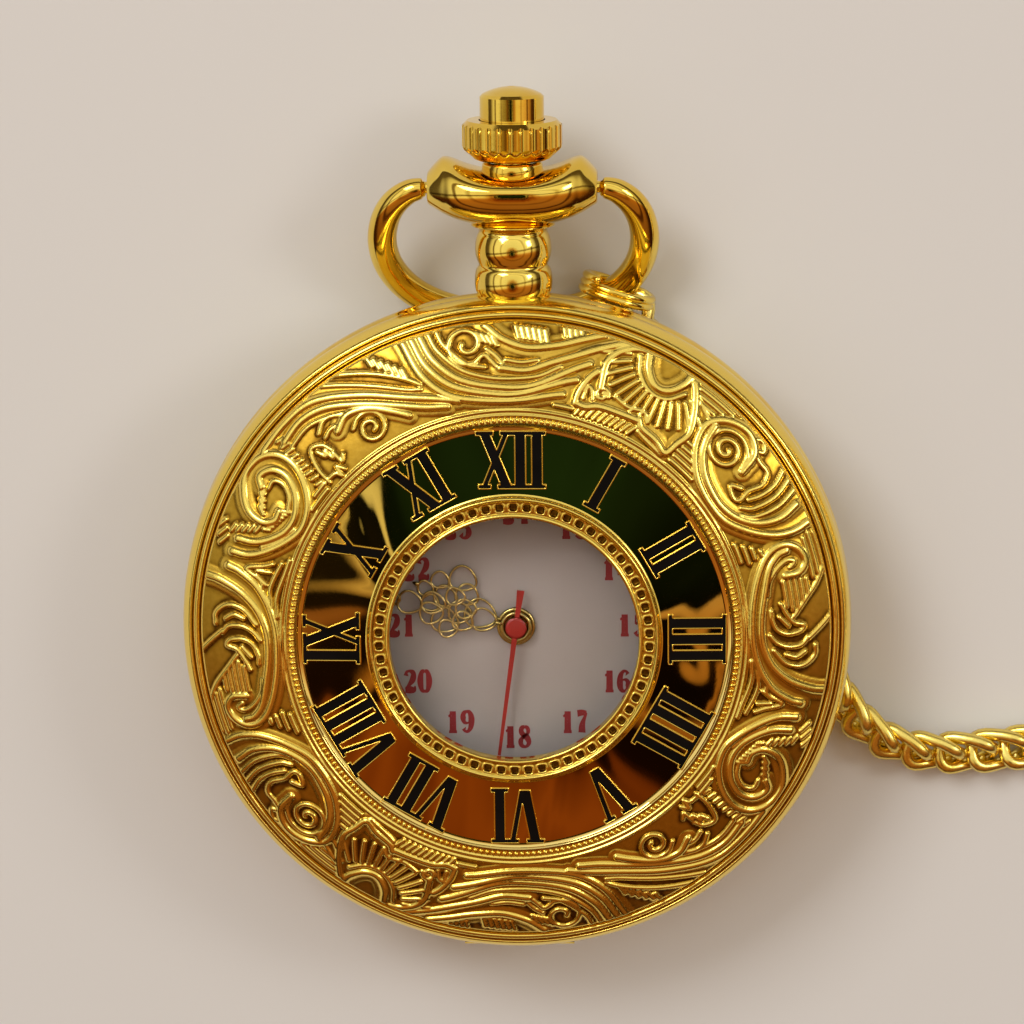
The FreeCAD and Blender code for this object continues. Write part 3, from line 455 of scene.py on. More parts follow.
# Strokes of half the border as (angle clockwise from 12 o'clock, radius) spots. The other half
# is the same, turned by 180 degrees.
BROAD = [
    # nested bowl
    [(-20.3, 22.0), (-18.6, 19.4), (-14.2, 17.7), (-7, 16.95), (2, 16.85), (11.5, 17.55)],
    [(-18.7, 22.0), (-17.2, 19.9), (-12.8, 18.2), (-5, 17.35), (3, 17.35), (13.8, 18.7)],
    [(-17.1, 22.0), (-15.6, 20.2), (-11.3, 18.6), (-4, 17.8), (5, 17.9), (15.6, 19.9)],
    [(-4.8, 21.8), (-1.8, 20.9), (3, 20.35), (8.5, 20.65), (13, 21.3), (16.8, 21.95)],
    [(-2.4, 19.0), (3, 18.85), (8, 19.5), (13, 20.3), (17.5, 21.2), (21.5, 22.0)],
    # shell and shield
    [(25.7, 22.0), (26.6, 21.0), (28.5, 20.3), (30.5, 20.15), (32.5, 20.5), (34, 21.3),
     (34.4, 22.0)],
    [(29.5, 17.7), (31, 17.3), (35, 17.1), (38.6, 16.8), (39.6, 17.8), (40.3, 18.8),
     (38.8, 20.0), (37, 21.0), (35.5, 21.7)],
    [(14.6, 17.2), (17, 17.1), (20, 17.4), (25, 17.5), (29, 17.6)],
    [(14.6, 17.2), (14.9, 18.0), (16.2, 19.0), (17.6, 19.6)],
    [(19.2, 18.6), (18.8, 20.2), (20, 21.1), (22.5, 21.75), (25, 22.0)],
    # oval volute and its sweep
    [(53.7, 19.6), (52.6, 21.0), (49, 21.6), (44.8, 21.2), (42, 20.2), (42.3, 19.0),
     (44.5, 17.9), (48.5, 17.0), (54, 16.6), (60, 16.8), (65, 17.9), (68.2, 19.3),
     (69.3, 20.7), (68.9, 22.0)],
    [(43.4, 20.3), (44, 19.2), (46, 18.2), (50, 17.4), (56, 17.1), (61, 17.6), (64.5, 18.7),
     (65.8, 20.2), (65, 21.6)],
    # open volute
    [(77.2, 19.3), (77.3, 20.3), (75.5, 20.85), (72.8, 20.6), (71, 19.8), (71.2, 18.8),
     (73.5, 17.9), (78, 17.1), (84, 16.6), (91, 16.55), (97, 17.1), (101.5, 18.2),
     (103.6, 19.6), (104, 20.5)],
    [(72.3, 19.8), (72.6, 19.1), (74.8, 18.3), (79, 17.7), (85, 17.2), (91, 17.2),
     (96, 17.9), (99.3, 19.2), (100.8, 20.8), (101, 22.0)],
    # round volute
    [(107, 20.5), (107.6, 19.3), (109.8, 18.2), (113.5, 17.2), (118, 16.6), (123, 16.9),
     (126.8, 17.9), (128.8, 19.3), (128.2, 20.7), (125.5, 21.6), (121.5, 21.8), (118, 21.2),
     (115.6, 20.3), (115.2, 19.2), (116.8, 18.5), (119, 18.5)],
    [(109.8, 20.4), (110.6, 19.2), (112.8, 18.2), (116, 17.5), (120, 17.4), (124, 18.1),
     (126, 19.3), (125.3, 20.4), (122.8, 20.9), (121.2, 20.4)],
    # long leaf
    [(127, 21.65), (134, 21.75), (140, 21.5), (148, 20.1), (156, 18.6), (163, 17.7),
     (167.8, 17.2)],
    [(131, 20.9), (136, 21.1), (141, 20.7), (147, 19.6), (154, 18.3), (160, 17.4),
     (165, 17.0)],
    [(140.5, 18.9), (144, 19.4), (148.5, 19.0), (153, 18.0), (156, 17.3)],
]
FINE = [
    [(-15.5, 22.0), (-14.2, 20.6), (-10, 19.05), (-3, 18.3), (5, 18.45), (10, 19.3)],
    [(-13.9, 22.0), (-12.9, 20.9), (-9.3, 19.5), (-5.6, 19.1)],
    [(-1.2, 19.5), (2, 19.35), (5.2, 19.55)],
    [(10.5, 19.9), (15, 20.9), (18.2, 21.5)],
    spiral(-8.7, 20.7, 1.35, 0.3, -70, -1.35),
    [(-7.3, 19.5), (-5.5, 19.9), (-4.2, 19.5), (-3, 19.1), (-1.9, 19.2), (-3.2, 19.8),
     (-5, 20.3)],
    [(24.3, 21.5), (25.4, 20.5), (27.8, 19.8), (30.5, 19.6), (33, 19.9), (35, 20.7)],
    [(16.2, 17.6), (16.4, 18.4), (17.5, 18.3), (18.2, 17.7)],
    [(22.6, 18.4), (26, 18.1), (29.6, 18.3), (31.2, 17.9)],
    [(30.5, 17.0), (33, 16.75), (38, 16.5)],
    spiral(19.9, 18.2, 0.5, 0.15, 0, 1.2),
    spiral(48.2, 19.7, 1.45, 0.2, 0, 2.1, 1.1),
    [(50.5, 21.6), (52, 21.9), (53.5, 21.5), (52.4, 21.1), (54.5, 20.9), (57, 20.9),
     (58.3, 20.2), (57.7, 19.2), (58.2, 18.4), (57, 18.1), (54.5, 18.4), (56.3, 18.9)],
    [(58.2, 22.0), (59.7, 20.9), (59.9, 19.8), (59.2, 18.9)],
    [(60.2, 22.0), (61.7, 20.5), (61.3, 18.9), (59.8, 18.2)],
    [(62.3, 22.0), (63.6, 20.4), (63, 18.7), (61, 17.9)],
    [(75.8, 19.7), (74.9, 20.1), (74.2, 19.6), (75.2, 18.8), (77.5, 18.1), (80.5, 17.8)],
    [(77, 22.0), (80, 21.3), (83, 20.3), (86, 19.4)],
    [(86.7, 22.0), (88.8, 21.2), (90.8, 20.4)],
    [(82.8, 18.6), (85, 18.9), (87.2, 19.4), (88, 20.1), (89.2, 19.8), (89.5, 18.9),
     (88.3, 18.2), (86, 17.9), (84, 17.9)],
    [(85.6, 18.4), (87.8, 19.0)],
    [(90.5, 20.4), (92, 19.9), (92.3, 19.0), (91.3, 18.2), (89.5, 17.7)],
    [(92.2, 20.9), (94.2, 20.9), (96, 20.3), (96.4, 19.6), (95.6, 18.8), (93, 18.0)],
    [(93.4, 20.2), (94.5, 19.6), (94, 18.9)],
    [(100, 17.8), (103, 18.0), (104.7, 19.2), (106.4, 18.1), (107.6, 17.5)],
    [(97.5, 17.0), (102, 17.25), (108.5, 16.9)],
    [(102.5, 17.6), (103.9, 18.4)],
    [(105, 18.4), (105.6, 17.5)],
    [(95.5, 16.5), (100, 16.7), (106, 16.5), (110, 16.45)],
    [(121.8, 19.9), (123.6, 19.9), (124.3, 19.2), (122.9, 18.4), (120.3, 18.0)],
    [(131.5, 20.3), (136, 20.45), (140, 20.1), (144.5, 19.5)],
    [(143, 21.9), (150, 20.4), (157, 19.0), (160.3, 18.6)],
    [(146, 22.0), (152, 20.9), (158, 19.6), (160.6, 18.9)],
    [(131.5, 16.8), (131.8, 18.0), (133.5, 19.2), (136, 18.9), (137, 18.2)],
    [(134.3, 18.8), (135, 18.2), (135.6, 18.5), (136, 17.8), (136.8, 18.0), (137, 17.2),
     (138.2, 17.5)],
    [(132, 17.0), (134, 16.9), (134.8, 16.5), (135.2, 17.2), (136.4, 16.7)],
    [(137, 19.6), (139, 20.0), (141, 20.0), (143, 19.6)],
    [(137.6, 19.1), (139.4, 19.3), (141.6, 19.2)],
    spiral(147, 17.75, 1.2, 0.25, 150, -1.6, 1.1),
    [(117.3, 17.0), (113, 17.7), (110.3, 18.6)],
]
FINE += ticks((-6.2, 21.1), (-3.3, 20.75), 4, 0.6, -25)
FINE += ticks((1.0, 21.3), (6.5, 21.15), 6, 0.75, -15)
FINE += ticks((9.8, 21.55), (13, 21.6), 4, 0.5, -15)
FINE += ticks((15.8, 16.75), (29, 16.8), 10, 0.7, 30)
FINE += fan(30.2, 22.1, 2.65, 4.3, 196, 335, 15)
FINE += ticks((111.4, 20.9), (113.4, 19.3), 5, 0.45, -70)
FINE += ticks((114.2, 18.7), (119.8, 18.05), 7, 0.45, -20)
FINE += ticks((117.2, 19.6), (120.8, 20.2), 4, 0.6, 35)
FINE += ticks((108.6, 21.3), (111.2, 21.8), 3, 0.7, -55)
FINE += ticks((129.6, 17.3), (130.6, 21.2), 9, 0.45, -75)
FINE += ticks((152.8, 21.6), (158.2, 19.9), 6, 0.7, -10)
FINE += bars([(10, 14.3, 16.75), (40.6, 47.5, 16.65), (40.6, 46.3, 17.05), (40.6, 44.8, 17.45),
              (41, 43.6, 17.85), (41, 42.6, 18.3), (36, 45.5, 21.95), (36.5, 44.6, 21.6),
              (37.3, 43, 21.2), (38.3, 41.6, 20.8), (71, 78, 21.9), (70.6, 78.4, 21.5),
              (71.2, 79, 21.1), (78.8, 82, 20.6), (78.6, 83.3, 20.2), (78.3, 84.4, 19.8),
              (78, 84.6, 19.4), (78.2, 83.6, 19.0), (123.6, 130, 16.6), (126.6, 130.5, 17.0),
              (66.2, 71, 16.6), (67.6, 72, 17.1), (68.8, 71.4, 17.6), (70.2, 71.2, 18.1)])

HALF_START = -25.0
BROAD_WIDTH, BROAD_HEIGHT = 0.31, 0.30
SWELL_WIDTH, SWELL_HEIGHT = 0.68, 0.11    # the raised band that each broad stroke crowns
FINE_WIDTH, FINE_HEIGHT = 0.20, 0.22
GROUND_LIFT = 0.03      # the engraving's ground lies this far above the lid's own face


def stamp(height, angles, radii, stroke, width, rise):
    """Raises the height field along one stroke, with a rounded cross-section."""
    line = smooth_profile(stroke, 6)
    for start, end in zip(line, line[1:]):
        margin = width / DEGREE + 0.05
        low = np.searchsorted(angles, min(start[0], end[0]) - margin)
        high = np.searchsorted(angles, max(start[0], end[0]) + margin)
        first = np.searchsorted(radii, min(start[1], end[1]) - width)
        last = np.searchsorted(radii, max(start[1], end[1]) + width)
        if low >= high or first >= last:
            continue
        across = (angles[low:high] - start[0])[None, :] * DEGREE
        along = (radii[first:last] - start[1])[:, None]
        way = np.array([(end[0] - start[0]) * DEGREE, end[1] - start[1]])
        length = max(way @ way, 1e-9)
        share = np.clip((across * way[0] + along * way[1]) / length, 0, 1)
        gap = np.hypot(across - share * way[0], along - share * way[1]) / width
        ridge = rise * np.sqrt(np.clip(1 - gap ** 2, 0, 1))
        part = height[first:last, low:high]
        np.maximum(part, ridge, out=part)


def border_relief(angles, radii):
    """Height of the engraving over half the border, angles in degrees from HALF_START."""
    wide = np.concatenate([angles, angles + 180.0])
    height = np.zeros((len(radii), len(wide)))
    for strokes, width, rise in ((BROAD, SWELL_WIDTH, SWELL_HEIGHT),
                                 (BROAD, BROAD_WIDTH, BROAD_HEIGHT),
                                 (FINE, FINE_WIDTH, FINE_HEIGHT)):
        for stroke in strokes:
            stamp(height, wide, radii, stroke, width, rise)
    half = len(angles)
    return np.maximum(height[:, :half], height[:, half:])


RIM_PROFILE = [(23.34, 8.02), (23.42, 8.4), (23.38, 8.85), (23.24, 9.25), (23.08, 9.52),
               (22.94, 9.7), (22.82, 9.79), (22.74, 9.77), (22.69, 9.69), (22.65, 9.65),
               (22.61, 9.71), (22.55, 9.88), (22.45, 10.02), (22.32, 10.08), (22.2, 10.04),
               (22.13, 9.93), (22.09, 9.86), (22.05, 9.92), (22.02, 10.06), (21.98, 10.18),
               (21.92, 10.25)]
RIM_GROOVES = (22.65, 22.09)
INNER_STEPS = ((16.15, 0.10, 0.13), (15.82, 0.10, 0.11))     # radius, half width and rise
HALF_STEPS = 760
SKIN_START, BORDER_START, BORDER_END, SKIN_END = 15.12, 16.3, 21.85, 21.88
# The engraving's colour tone: painted shade in the ground, lighter with height, and more painted
# shade in the hollows beside ridges.
GROUND_SHADE_TONE, RELIEF_TONE, CREASE_PAINTED_SHADE = 0.31, 0.75, 1.1
# Width of the painted shade along each of the rim's grooves.
GROOVE_SHADE_WIDTH = 0.045


def softened(height):
    """A height field blurred over a few of its steps, to find the hollows beside ridges, where
    shade is painted.
    """
    for axis, reach in ((0, 3), (1, 5)):
        height = sum(np.roll(height, shift, axis) for shift in range(-reach, reach + 1))
        height = height / (2 * reach + 1)
    return height


def make_lid_skin():
    """The lid's outer skin: turned rim, engraved border and the ridges beside the beads."""
    angles = HALF_START + np.arange(HALF_STEPS) * 180.0 / HALF_STEPS
    radii = np.concatenate([np.linspace(SKIN_START, BORDER_START, 20)[:-1],
                            np.linspace(BORDER_START, SKIN_END, 98)])
    relief = border_relief(angles, radii)
    for radius, width, rise in INNER_STEPS:
        ridge = rise * np.sqrt(np.clip(1 - ((radii - radius) / width) ** 2, 0, 1))
        relief = np.maximum(relief, ridge[:, None])
    relief = np.hstack([relief, relief])
    ground = field_z(np.clip(radii, FIELD_INNER, None)) + GROUND_LIFT
    inside = (radii > BORDER_START) & (radii < BORDER_END)
    turn = np.radians(90 - np.concatenate([angles, angles + 180.0]))
    height = ground[:, None] + relief
    rim = smooth_profile(RIM_PROFILE[::-1], 3)
    skin = np.concatenate([turned(radii, turn, height), turned(rim[:, 0], turn, rim[:, 1:])])
    rows, columns = skin.shape[:2]
    # The rows run outwards and the angles clockwise, so the quads face up as they are.
    piece = add_mesh("lid_engraving", skin.reshape(-1, 3), grid_faces(rows, columns), ENGRAVED,
                     "lid")
    # Painted shade: the colour darkens in the ground and more in the hollows beside each ridge.
    crease_shade = np.clip((softened(relief) - relief) / FINE_HEIGHT, 0, 1)
    tone = GROUND_SHADE_TONE + RELIEF_TONE * relief / FINE_HEIGHT - CREASE_PAINTED_SHADE * crease_shade
    raised = np.ones((rows, columns))
    raised[:len(radii)] = np.where(inside[:, None], tone, 1.0)
    # Painted shade along the rim's grooves.
    for groove in RIM_GROOVES:
        away = 1 - np.exp(-((rim[:, 0] - groove) / GROOVE_SHADE_WIDTH) ** 2)
        raised[len(radii):] = np.minimum(raised[len(radii):], away[:, None])
    mark_raised(piece, raised)


BEAD_COUNT = 236
BEAD_ROW, BEAD_Z = 15.45, 12.6
BEAD_HALF_LENGTH, BEAD_HALF_WIDTH = 0.26, 0.17
BEAD_OUT, BEAD_ASIDE = 0.94, 0.34       # the way a bead leans, by about 20 degrees
BEAD_RINGS = ((0.0, 1.0), (0.1, 0.8), (0.15, 0.35))     # lift, and share of its size


def make_beads():
    """The fine rope of beads between the border and the numeral ring."""
    parts = []
    faces = grid_faces(3, 6) + [tuple(range(12, 18))]
    for index in range(BEAD_COUNT):
        outward, aside = heading(TAU * index / BEAD_COUNT)
        centre = outward * BEAD_ROW + (0, 0, BEAD_Z)
        lean = outward * BEAD_OUT + aside * BEAD_ASIDE
        flank = aside * BEAD_OUT - outward * BEAD_ASIDE
        points = []
        for lift, share in BEAD_RINGS:
            for a in np.arange(6) * TAU / 6:
                points.append(centre + lean * BEAD_HALF_LENGTH * share * math.cos(a)
                              + flank * BEAD_HALF_WIDTH * share * math.sin(a) + (0, 0, lift))
        parts.append((points, faces))
    add_parts("lid_beads", parts, GOLD, "lid")


RING_SLOPE = 0.03      # fall of the numeral ring towards its outer edge, mm per mm
RING_WAVE = 0.005      # unevenness of its polish, mm
RING_LIFT = 0.04       # the ring's mirror over the plain bezel, mm
RING_EDGE = ((15.26, 12.55), (15.2, 12.62), (15.1, 12.58), (15.02, 12.47))
RING_OUTER, RING_INNER = 15.0, 10.3
EDGE_LIFT, ENAMEL_LIFT = 0.05, 0.045    # the numerals' gold edges and their fill, over the ring
EDGE_WIRE, EDGE_STEP, EDGE_GAP = 0.055, 0.12, 0.02


def numeral_ring_z(radius, angle):
    """Height of the numeral ring: coned a little, with slow waves in its surface."""
    fall = RING_SLOPE * (RING_OUTER - radius)
    wave = RING_WAVE * (np.sin(3 * angle + 0.6) + np.sin(5 * angle + 2.1 + 0.5 * radius))
    return NUMERAL_Z + RING_LIFT + fall + wave


def on_ring(spots, lift):
    """Points laid on the numeral ring, this far above it."""
    spots = np.array(spots)
    angle = np.arctan2(spots[:, 1], spots[:, 0])
    spots[:, 2] = numeral_ring_z(np.hypot(spots[:, 0], spots[:, 1]), angle) + lift
    return spots


def make_numeral_ring():
    """The mirror-polished ring that carries the numerals."""
    angles = np.arange(360) * TAU / 360
    edge = np.array(RING_EDGE)
    radii = np.linspace(RING_OUTER, RING_INNER, 16)
    points = np.concatenate([turned(edge[:, 0], angles, edge[:, 1:]),
                             turned(radii, angles, numeral_ring_z(radii[:, None], angles))])
    faces = flipped(grid_faces(*points.shape[:2]))
    add_mesh("numeral_ring", points.reshape(-1, 3), faces, MIRROR, "lid")


def top_faces(node, height):
    """The points, by place, of each face that lies at the given height of a flat node."""
    mesh = frame["nodes"][node].data
    spots = [tuple(round(value / MM, 4) for value in vertex.co) for vertex in mesh.vertices]
    found = []
    for polygon in mesh.polygons:
        corners = [spots[i] for i in polygon.vertices]
        if all(abs(corner[2] - height) < 0.004 for corner in corners):
            found.append(corners)
    return found


def outlines(faces):
    """Closed outlines round a set of flat faces."""
    follow = {}
    for corners in faces:
        for start, end in zip(corners, corners[1:] + corners[:1]):
            follow.setdefault(start, []).append(end)
    loops = []
    border = {start: [end for end in ends if start not in follow.get(end, ())]
              for start, ends in follow.items()}
    for start in list(border):
        while border[start]:
            loop = [start]
            spot = border[start].pop()
            while spot != start and border.get(spot):
                loop.append(spot)
                spot = border[spot].pop()
            if len(loop) > 2:
                loops.append(loop)
    return loops


def make_numerals():
    """Black numerals with a raised gold edge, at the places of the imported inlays."""
    faces = top_faces("numeral_inlays", INLAY_TOP)
    edges = []
    for loop in outlines(faces):
        line = np.array(loop)
        apart = np.linalg.norm(line - np.roll(line, 1, 0), axis=1)
        line = on_ring(line[apart > EDGE_GAP], EDGE_LIFT)
        dense = []
        for start, end in zip(line, np.roll(line, -1, 0)):
            steps = max(1, int(np.linalg.norm(end - start) / EDGE_STEP))
            dense.extend(start + (end - start) * share for share in np.arange(steps) / steps)
        edges.append(tube_part(dense, EDGE_WIRE, 6, closed=True))
    add_parts("numeral_edges", edges, GOLD, "lid")
    fill = [(on_ring(corners, ENAMEL_LIFT), [tuple(range(len(corners)))]) for corners in faces]
    enamel = add_parts("numeral_enamel", fill, ENAMEL, "lid", smooth=False)
    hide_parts("numeral_inlays")


# ------------------------------------------------------------ window ring

PIT_COUNT = 62
PIT_STEPS = 14          # points round the ring for each pit
PIT_RADIUS, PIT_HALF, PIT_DEPTH = 9.38, 0.23, 0.28
FRAME_RISE = 0.055
BORE_Z = (11.98, 12.3, 12.6)
# The ground round the pits is given a darker tone as painted shade.
GROUND_HALF, PIT_SHADE_TONE = 0.4, 0.45       # half width of the ground round the pits, and its tone
WINDOW_PROFILE = [(8.62, 12.74), (8.68, 12.84), (8.8, 12.87), (8.92, 12.8), (9.0, 12.7),
                  (9.1, 12.7), (9.4, 12.72), (9.66, 12.7), (9.76, 12.74), (9.9, 12.86),
                  (10.0, 12.85), (10.1, 12.74), (10.2, 12.62), (10.34, 12.56)]


def make_window_ring():
    """The raised ring round the window, with a row of small framed square pits."""
    count = PIT_COUNT * PIT_STEPS
    profile = smooth_profile(WINDOW_PROFILE, 4)
    bore, outer = profile[0, 0], profile[-1, 0]
    radii = np.concatenate([np.full(3, bore), np.linspace(bore + 0.02, outer, 52)])
    angles = np.arange(count) * TAU / count
    base = np.interp(radii, profile[:, 0], profile[:, 1])
    phase = (np.arange(count) % PIT_STEPS - (PIT_STEPS - 1) / 2) / PIT_STEPS * TAU / PIT_COUNT
    aside = np.abs(phase[None, :] * radii[:, None])
    across = np.abs(radii - PIT_RADIUS)[:, None]
    gap = (aside ** 4 + across ** 4) ** 0.25 / PIT_HALF
    frame_rise = FRAME_RISE * np.clip(1 - np.abs(gap - 1.35) / 0.4, 0, 1)
    height = base[:, None] + frame_rise - PIT_DEPTH * np.clip((1.12 - gap) / 0.25, 0, 1)
    height[:3] = np.array(BORE_Z)[:, None]
    piece = add_mesh("window_ring", turned(radii, angles, height).reshape(-1, 3),
                     grid_faces(len(radii), count), ENGRAVED, "lid")
    # Painted shade: the ground round the pits darker, the frames lighter by their rise, and the
    # pits darkest.
    tone = np.where(across < GROUND_HALF, PIT_SHADE_TONE, 1.0)
    tone = np.where(frame_rise > 0, PIT_SHADE_TONE + 10 * frame_rise, tone)
    tone = np.where(gap < 1.05, 0.0, tone)
    mark_raised(piece, tone)
    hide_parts("window_bezel")


# ------------------------------------------------------------ dial prints and hands

# Strokes of the digits in a box one high: (x, y, width) along each.
DIGITS = {
    "0": [[(0.5, 0.97, 0.08), (0.3, 0.88, 0.16), (0.2, 0.5, 0.24), (0.3, 0.12, 0.16),
           (0.5, 0.03, 0.08), (0.7, 0.12, 0.16), (0.8, 0.5, 0.24), (0.7, 0.88, 0.16),
           (0.5, 0.97, 0.08)]],
    "1": [[(0.52, 0.0, 0.26), (0.52, 0.98, 0.24)], [(0.52, 0.9, 0.1), (0.22, 0.74, 0.06)],
          [(0.25, 0.04, 0.08), (0.79, 0.04, 0.08)]],
    "2": [[(0.24, 0.74, 0.2), (0.28, 0.9, 0.1), (0.5, 0.96, 0.08), (0.72, 0.84, 0.2),
           (0.7, 0.6, 0.22), (0.45, 0.34, 0.12), (0.2, 0.1, 0.08)],
          [(0.18, 0.1, 0.16), (0.5, 0.1, 0.2), (0.8, 0.1, 0.14), (0.84, 0.28, 0.05)]],
    "3": [[(0.24, 0.78, 0.2), (0.32, 0.93, 0.08), (0.55, 0.95, 0.1), (0.7, 0.78, 0.22),
           (0.6, 0.58, 0.12), (0.42, 0.53, 0.06)],
          [(0.42, 0.53, 0.06), (0.64, 0.5, 0.12), (0.76, 0.28, 0.24), (0.6, 0.06, 0.12),
           (0.36, 0.04, 0.08), (0.24, 0.2, 0.2)]],
    "4": [[(0.62, 0.0, 0.24), (0.62, 0.98, 0.22)], [(0.6, 0.95, 0.1), (0.12, 0.32, 0.07)],
          [(0.1, 0.28, 0.09), (0.88, 0.28, 0.09)], [(0.4, 0.03, 0.07), (0.85, 0.03, 0.07)]],
    "5": [[(0.26, 0.9, 0.16), (0.74, 0.9, 0.18)], [(0.27, 0.95, 0.07), (0.25, 0.54, 0.07)],
          [(0.25, 0.54, 0.06), (0.5, 0.62, 0.1), (0.74, 0.46, 0.2), (0.76, 0.24, 0.22),
           (0.58, 0.05, 0.12), (0.34, 0.04, 0.08), (0.24, 0.2, 0.18)]],
    "6": [[(0.74, 0.8, 0.18), (0.66, 0.93, 0.08), (0.45, 0.93, 0.1), (0.26, 0.7, 0.2),
           (0.22, 0.35, 0.24), (0.34, 0.1, 0.16), (0.52, 0.03, 0.08), (0.72, 0.12, 0.16),
           (0.78, 0.3, 0.22), (0.7, 0.5, 0.14), (0.5, 0.56, 0.06), (0.3, 0.46, 0.06)]],
    "7": [[(0.18, 0.88, 0.18), (0.5, 0.92, 0.16), (0.8, 0.9, 0.12)],
          [(0.8, 0.92, 0.08), (0.62, 0.6, 0.14), (0.5, 0.3, 0.24), (0.48, 0.0, 0.28)]],
    "8": [[(0.5, 0.97, 0.08), (0.3, 0.88, 0.16), (0.26, 0.74, 0.2), (0.4, 0.58, 0.16),
           (0.66, 0.44, 0.2), (0.76, 0.26, 0.2), (0.68, 0.1, 0.12), (0.5, 0.03, 0.08),
           (0.3, 0.1, 0.14), (0.22, 0.26, 0.2), (0.34, 0.44, 0.12), (0.6, 0.58, 0.08),
           (0.72, 0.74, 0.16), (0.68, 0.88, 0.14), (0.5, 0.97, 0.08)]],
}
DIGITS["9"] = [[(1 - x, 1 - y, width) for x, y, width in stroke] for stroke in DIGITS["6"]]
DIGIT_HEIGHT, DIGIT_WIDTH = 1.58, 1.04
INK_SPREAD = 1.75
RED_RADIUS = 8.1
PRINT_LIFT = 0.012      # the dial's print over its lacquer
HOUR_BAR, MINUTE_BAR = (16.9, 0.14), (17.3, 0.05)       # inner end and half width
TRACK_RINGS, TRACK_LINE, TRACK_STEPS = (17.2, 17.8), 0.08, 240
TRACK_LIFT = 0.002      # the track's rings over its bars
DIAL_SCALE = 1.12       # the dial's black hours over the lid's


def ribbon(stroke, place, tall, wide, z):
    """Points and faces of one flat stroke of changing width."""
    line = smooth_profile(stroke, 5)
    ahead = np.gradient(line[:, :2], axis=0)
    ahead /= np.linalg.norm(ahead, axis=1)[:, None]
    aside = np.stack([-ahead[:, 1], ahead[:, 0]], -1) * line[:, 2:] * INK_SPREAD / 2
    rows = np.stack([line[:, :2] - aside, line[:, :2] + aside], 1)
    flat = rows * (wide, tall) + np.asarray(place)
    points = np.concatenate([flat, np.full((len(line), 2, 1), z)], -1).reshape(-1, 3)
    return points, strip_faces(len(line))


def make_red_numbers():
    """The upright afternoon hours, 13 to 24, in red on the inner part of the dial."""
    parts = []
    for hour in range(13, 25):
        centre = RED_RADIUS * heading(math.radians(90 - 30 * (hour - 12)))[0][:2]
        for index, digit in enumerate(str(hour)):
            corner = centre + np.array([(index - 1) * DIGIT_WIDTH, -DIGIT_HEIGHT / 2])
            for number, stroke in enumerate(DIGITS[digit]):
                parts.append(ribbon(stroke, corner, DIGIT_HEIGHT, DIGIT_WIDTH,
                                    DIAL_TOP + PRINT_LIFT + 0.003 * number))
    add_parts("dial_red_numbers", parts, INK_RED, "case", smooth=False)


def make_dial_track():
    """The dial's outer print, seen when the lid is open: black hour bars and a minute track."""
    z = DIAL_TOP + PRINT_LIFT
    parts = []
    outer = TRACK_RINGS[1]
    for minute in range(60):
        inner, half = HOUR_BAR if minute % 5 == 0 else MINUTE_BAR
        way, aside = heading(TAU * minute / 60)
        corners = [way * reach + aside * side + (0, 0, z) for reach, side in
                   ((inner, -half), (outer, -half), (outer, half), (inner, half))]
        parts.append((corners, [(0, 1, 2, 3)]))
    angles = np.arange(TRACK_STEPS + 1) * TAU / TRACK_STEPS
    for radius in TRACK_RINGS:
        rows = turned([radius, radius - TRACK_LINE], angles, z + TRACK_LIFT)
        parts.append((rows.transpose(1, 0, 2).reshape(-1, 3), strip_faces(len(angles))))
    for corners in top_faces("numeral_inlays", INLAY_TOP):
        spots = np.array(corners) * (DIAL_SCALE, DIAL_SCALE, 0) + (0, 0, z)
        parts.append((spots, [tuple(range(len(spots)))]))
    add_parts("dial_black_print", parts, INK_BLACK, "case", smooth=False)


# Openwork rings of each hand: (reach, sideways, radius) from the centre of the dial.
MINUTE_RINGS = ((2.27, 0.0, 0.78), (3.7, 0.48, 0.66), (3.7, -0.48, 0.66), (4.6, 1.17, 0.6),
                (4.6, -1.17, 0.6), (6.0, 0.36, 0.75), (6.0, -0.36, 0.75), (7.6, 0.0, 0.78),
                (8.9, 0.0, 0.5))
HOUR_RINGS = ((2.6, 0.2, 1.0), (4.0, 0.66, 0.74), (4.0, -0.66, 0.74), (4.7, 1.62, 0.86),
              (4.7, -1.62, 0.86), (5.35, 0.0, 0.72), (6.15, 0.9, 0.58), (6.15, -0.9, 0.58),
              (6.9, 0.0, 0.5))
HAND_WIRE = 0.09
STALK_START, STALK_END, STALK_WIRE = 1.0, 1.55, 0.14
TIP_WIRE = [0.2, 0.14, 0.05]
HOUR_ANGLE, HOUR_REACH, HOUR_HUB = 156.3, 7.9, 1.35
MINUTE_ANGLE, MINUTE_REACH, MINUTE_HUB = 166.5, 12.6, 1.12


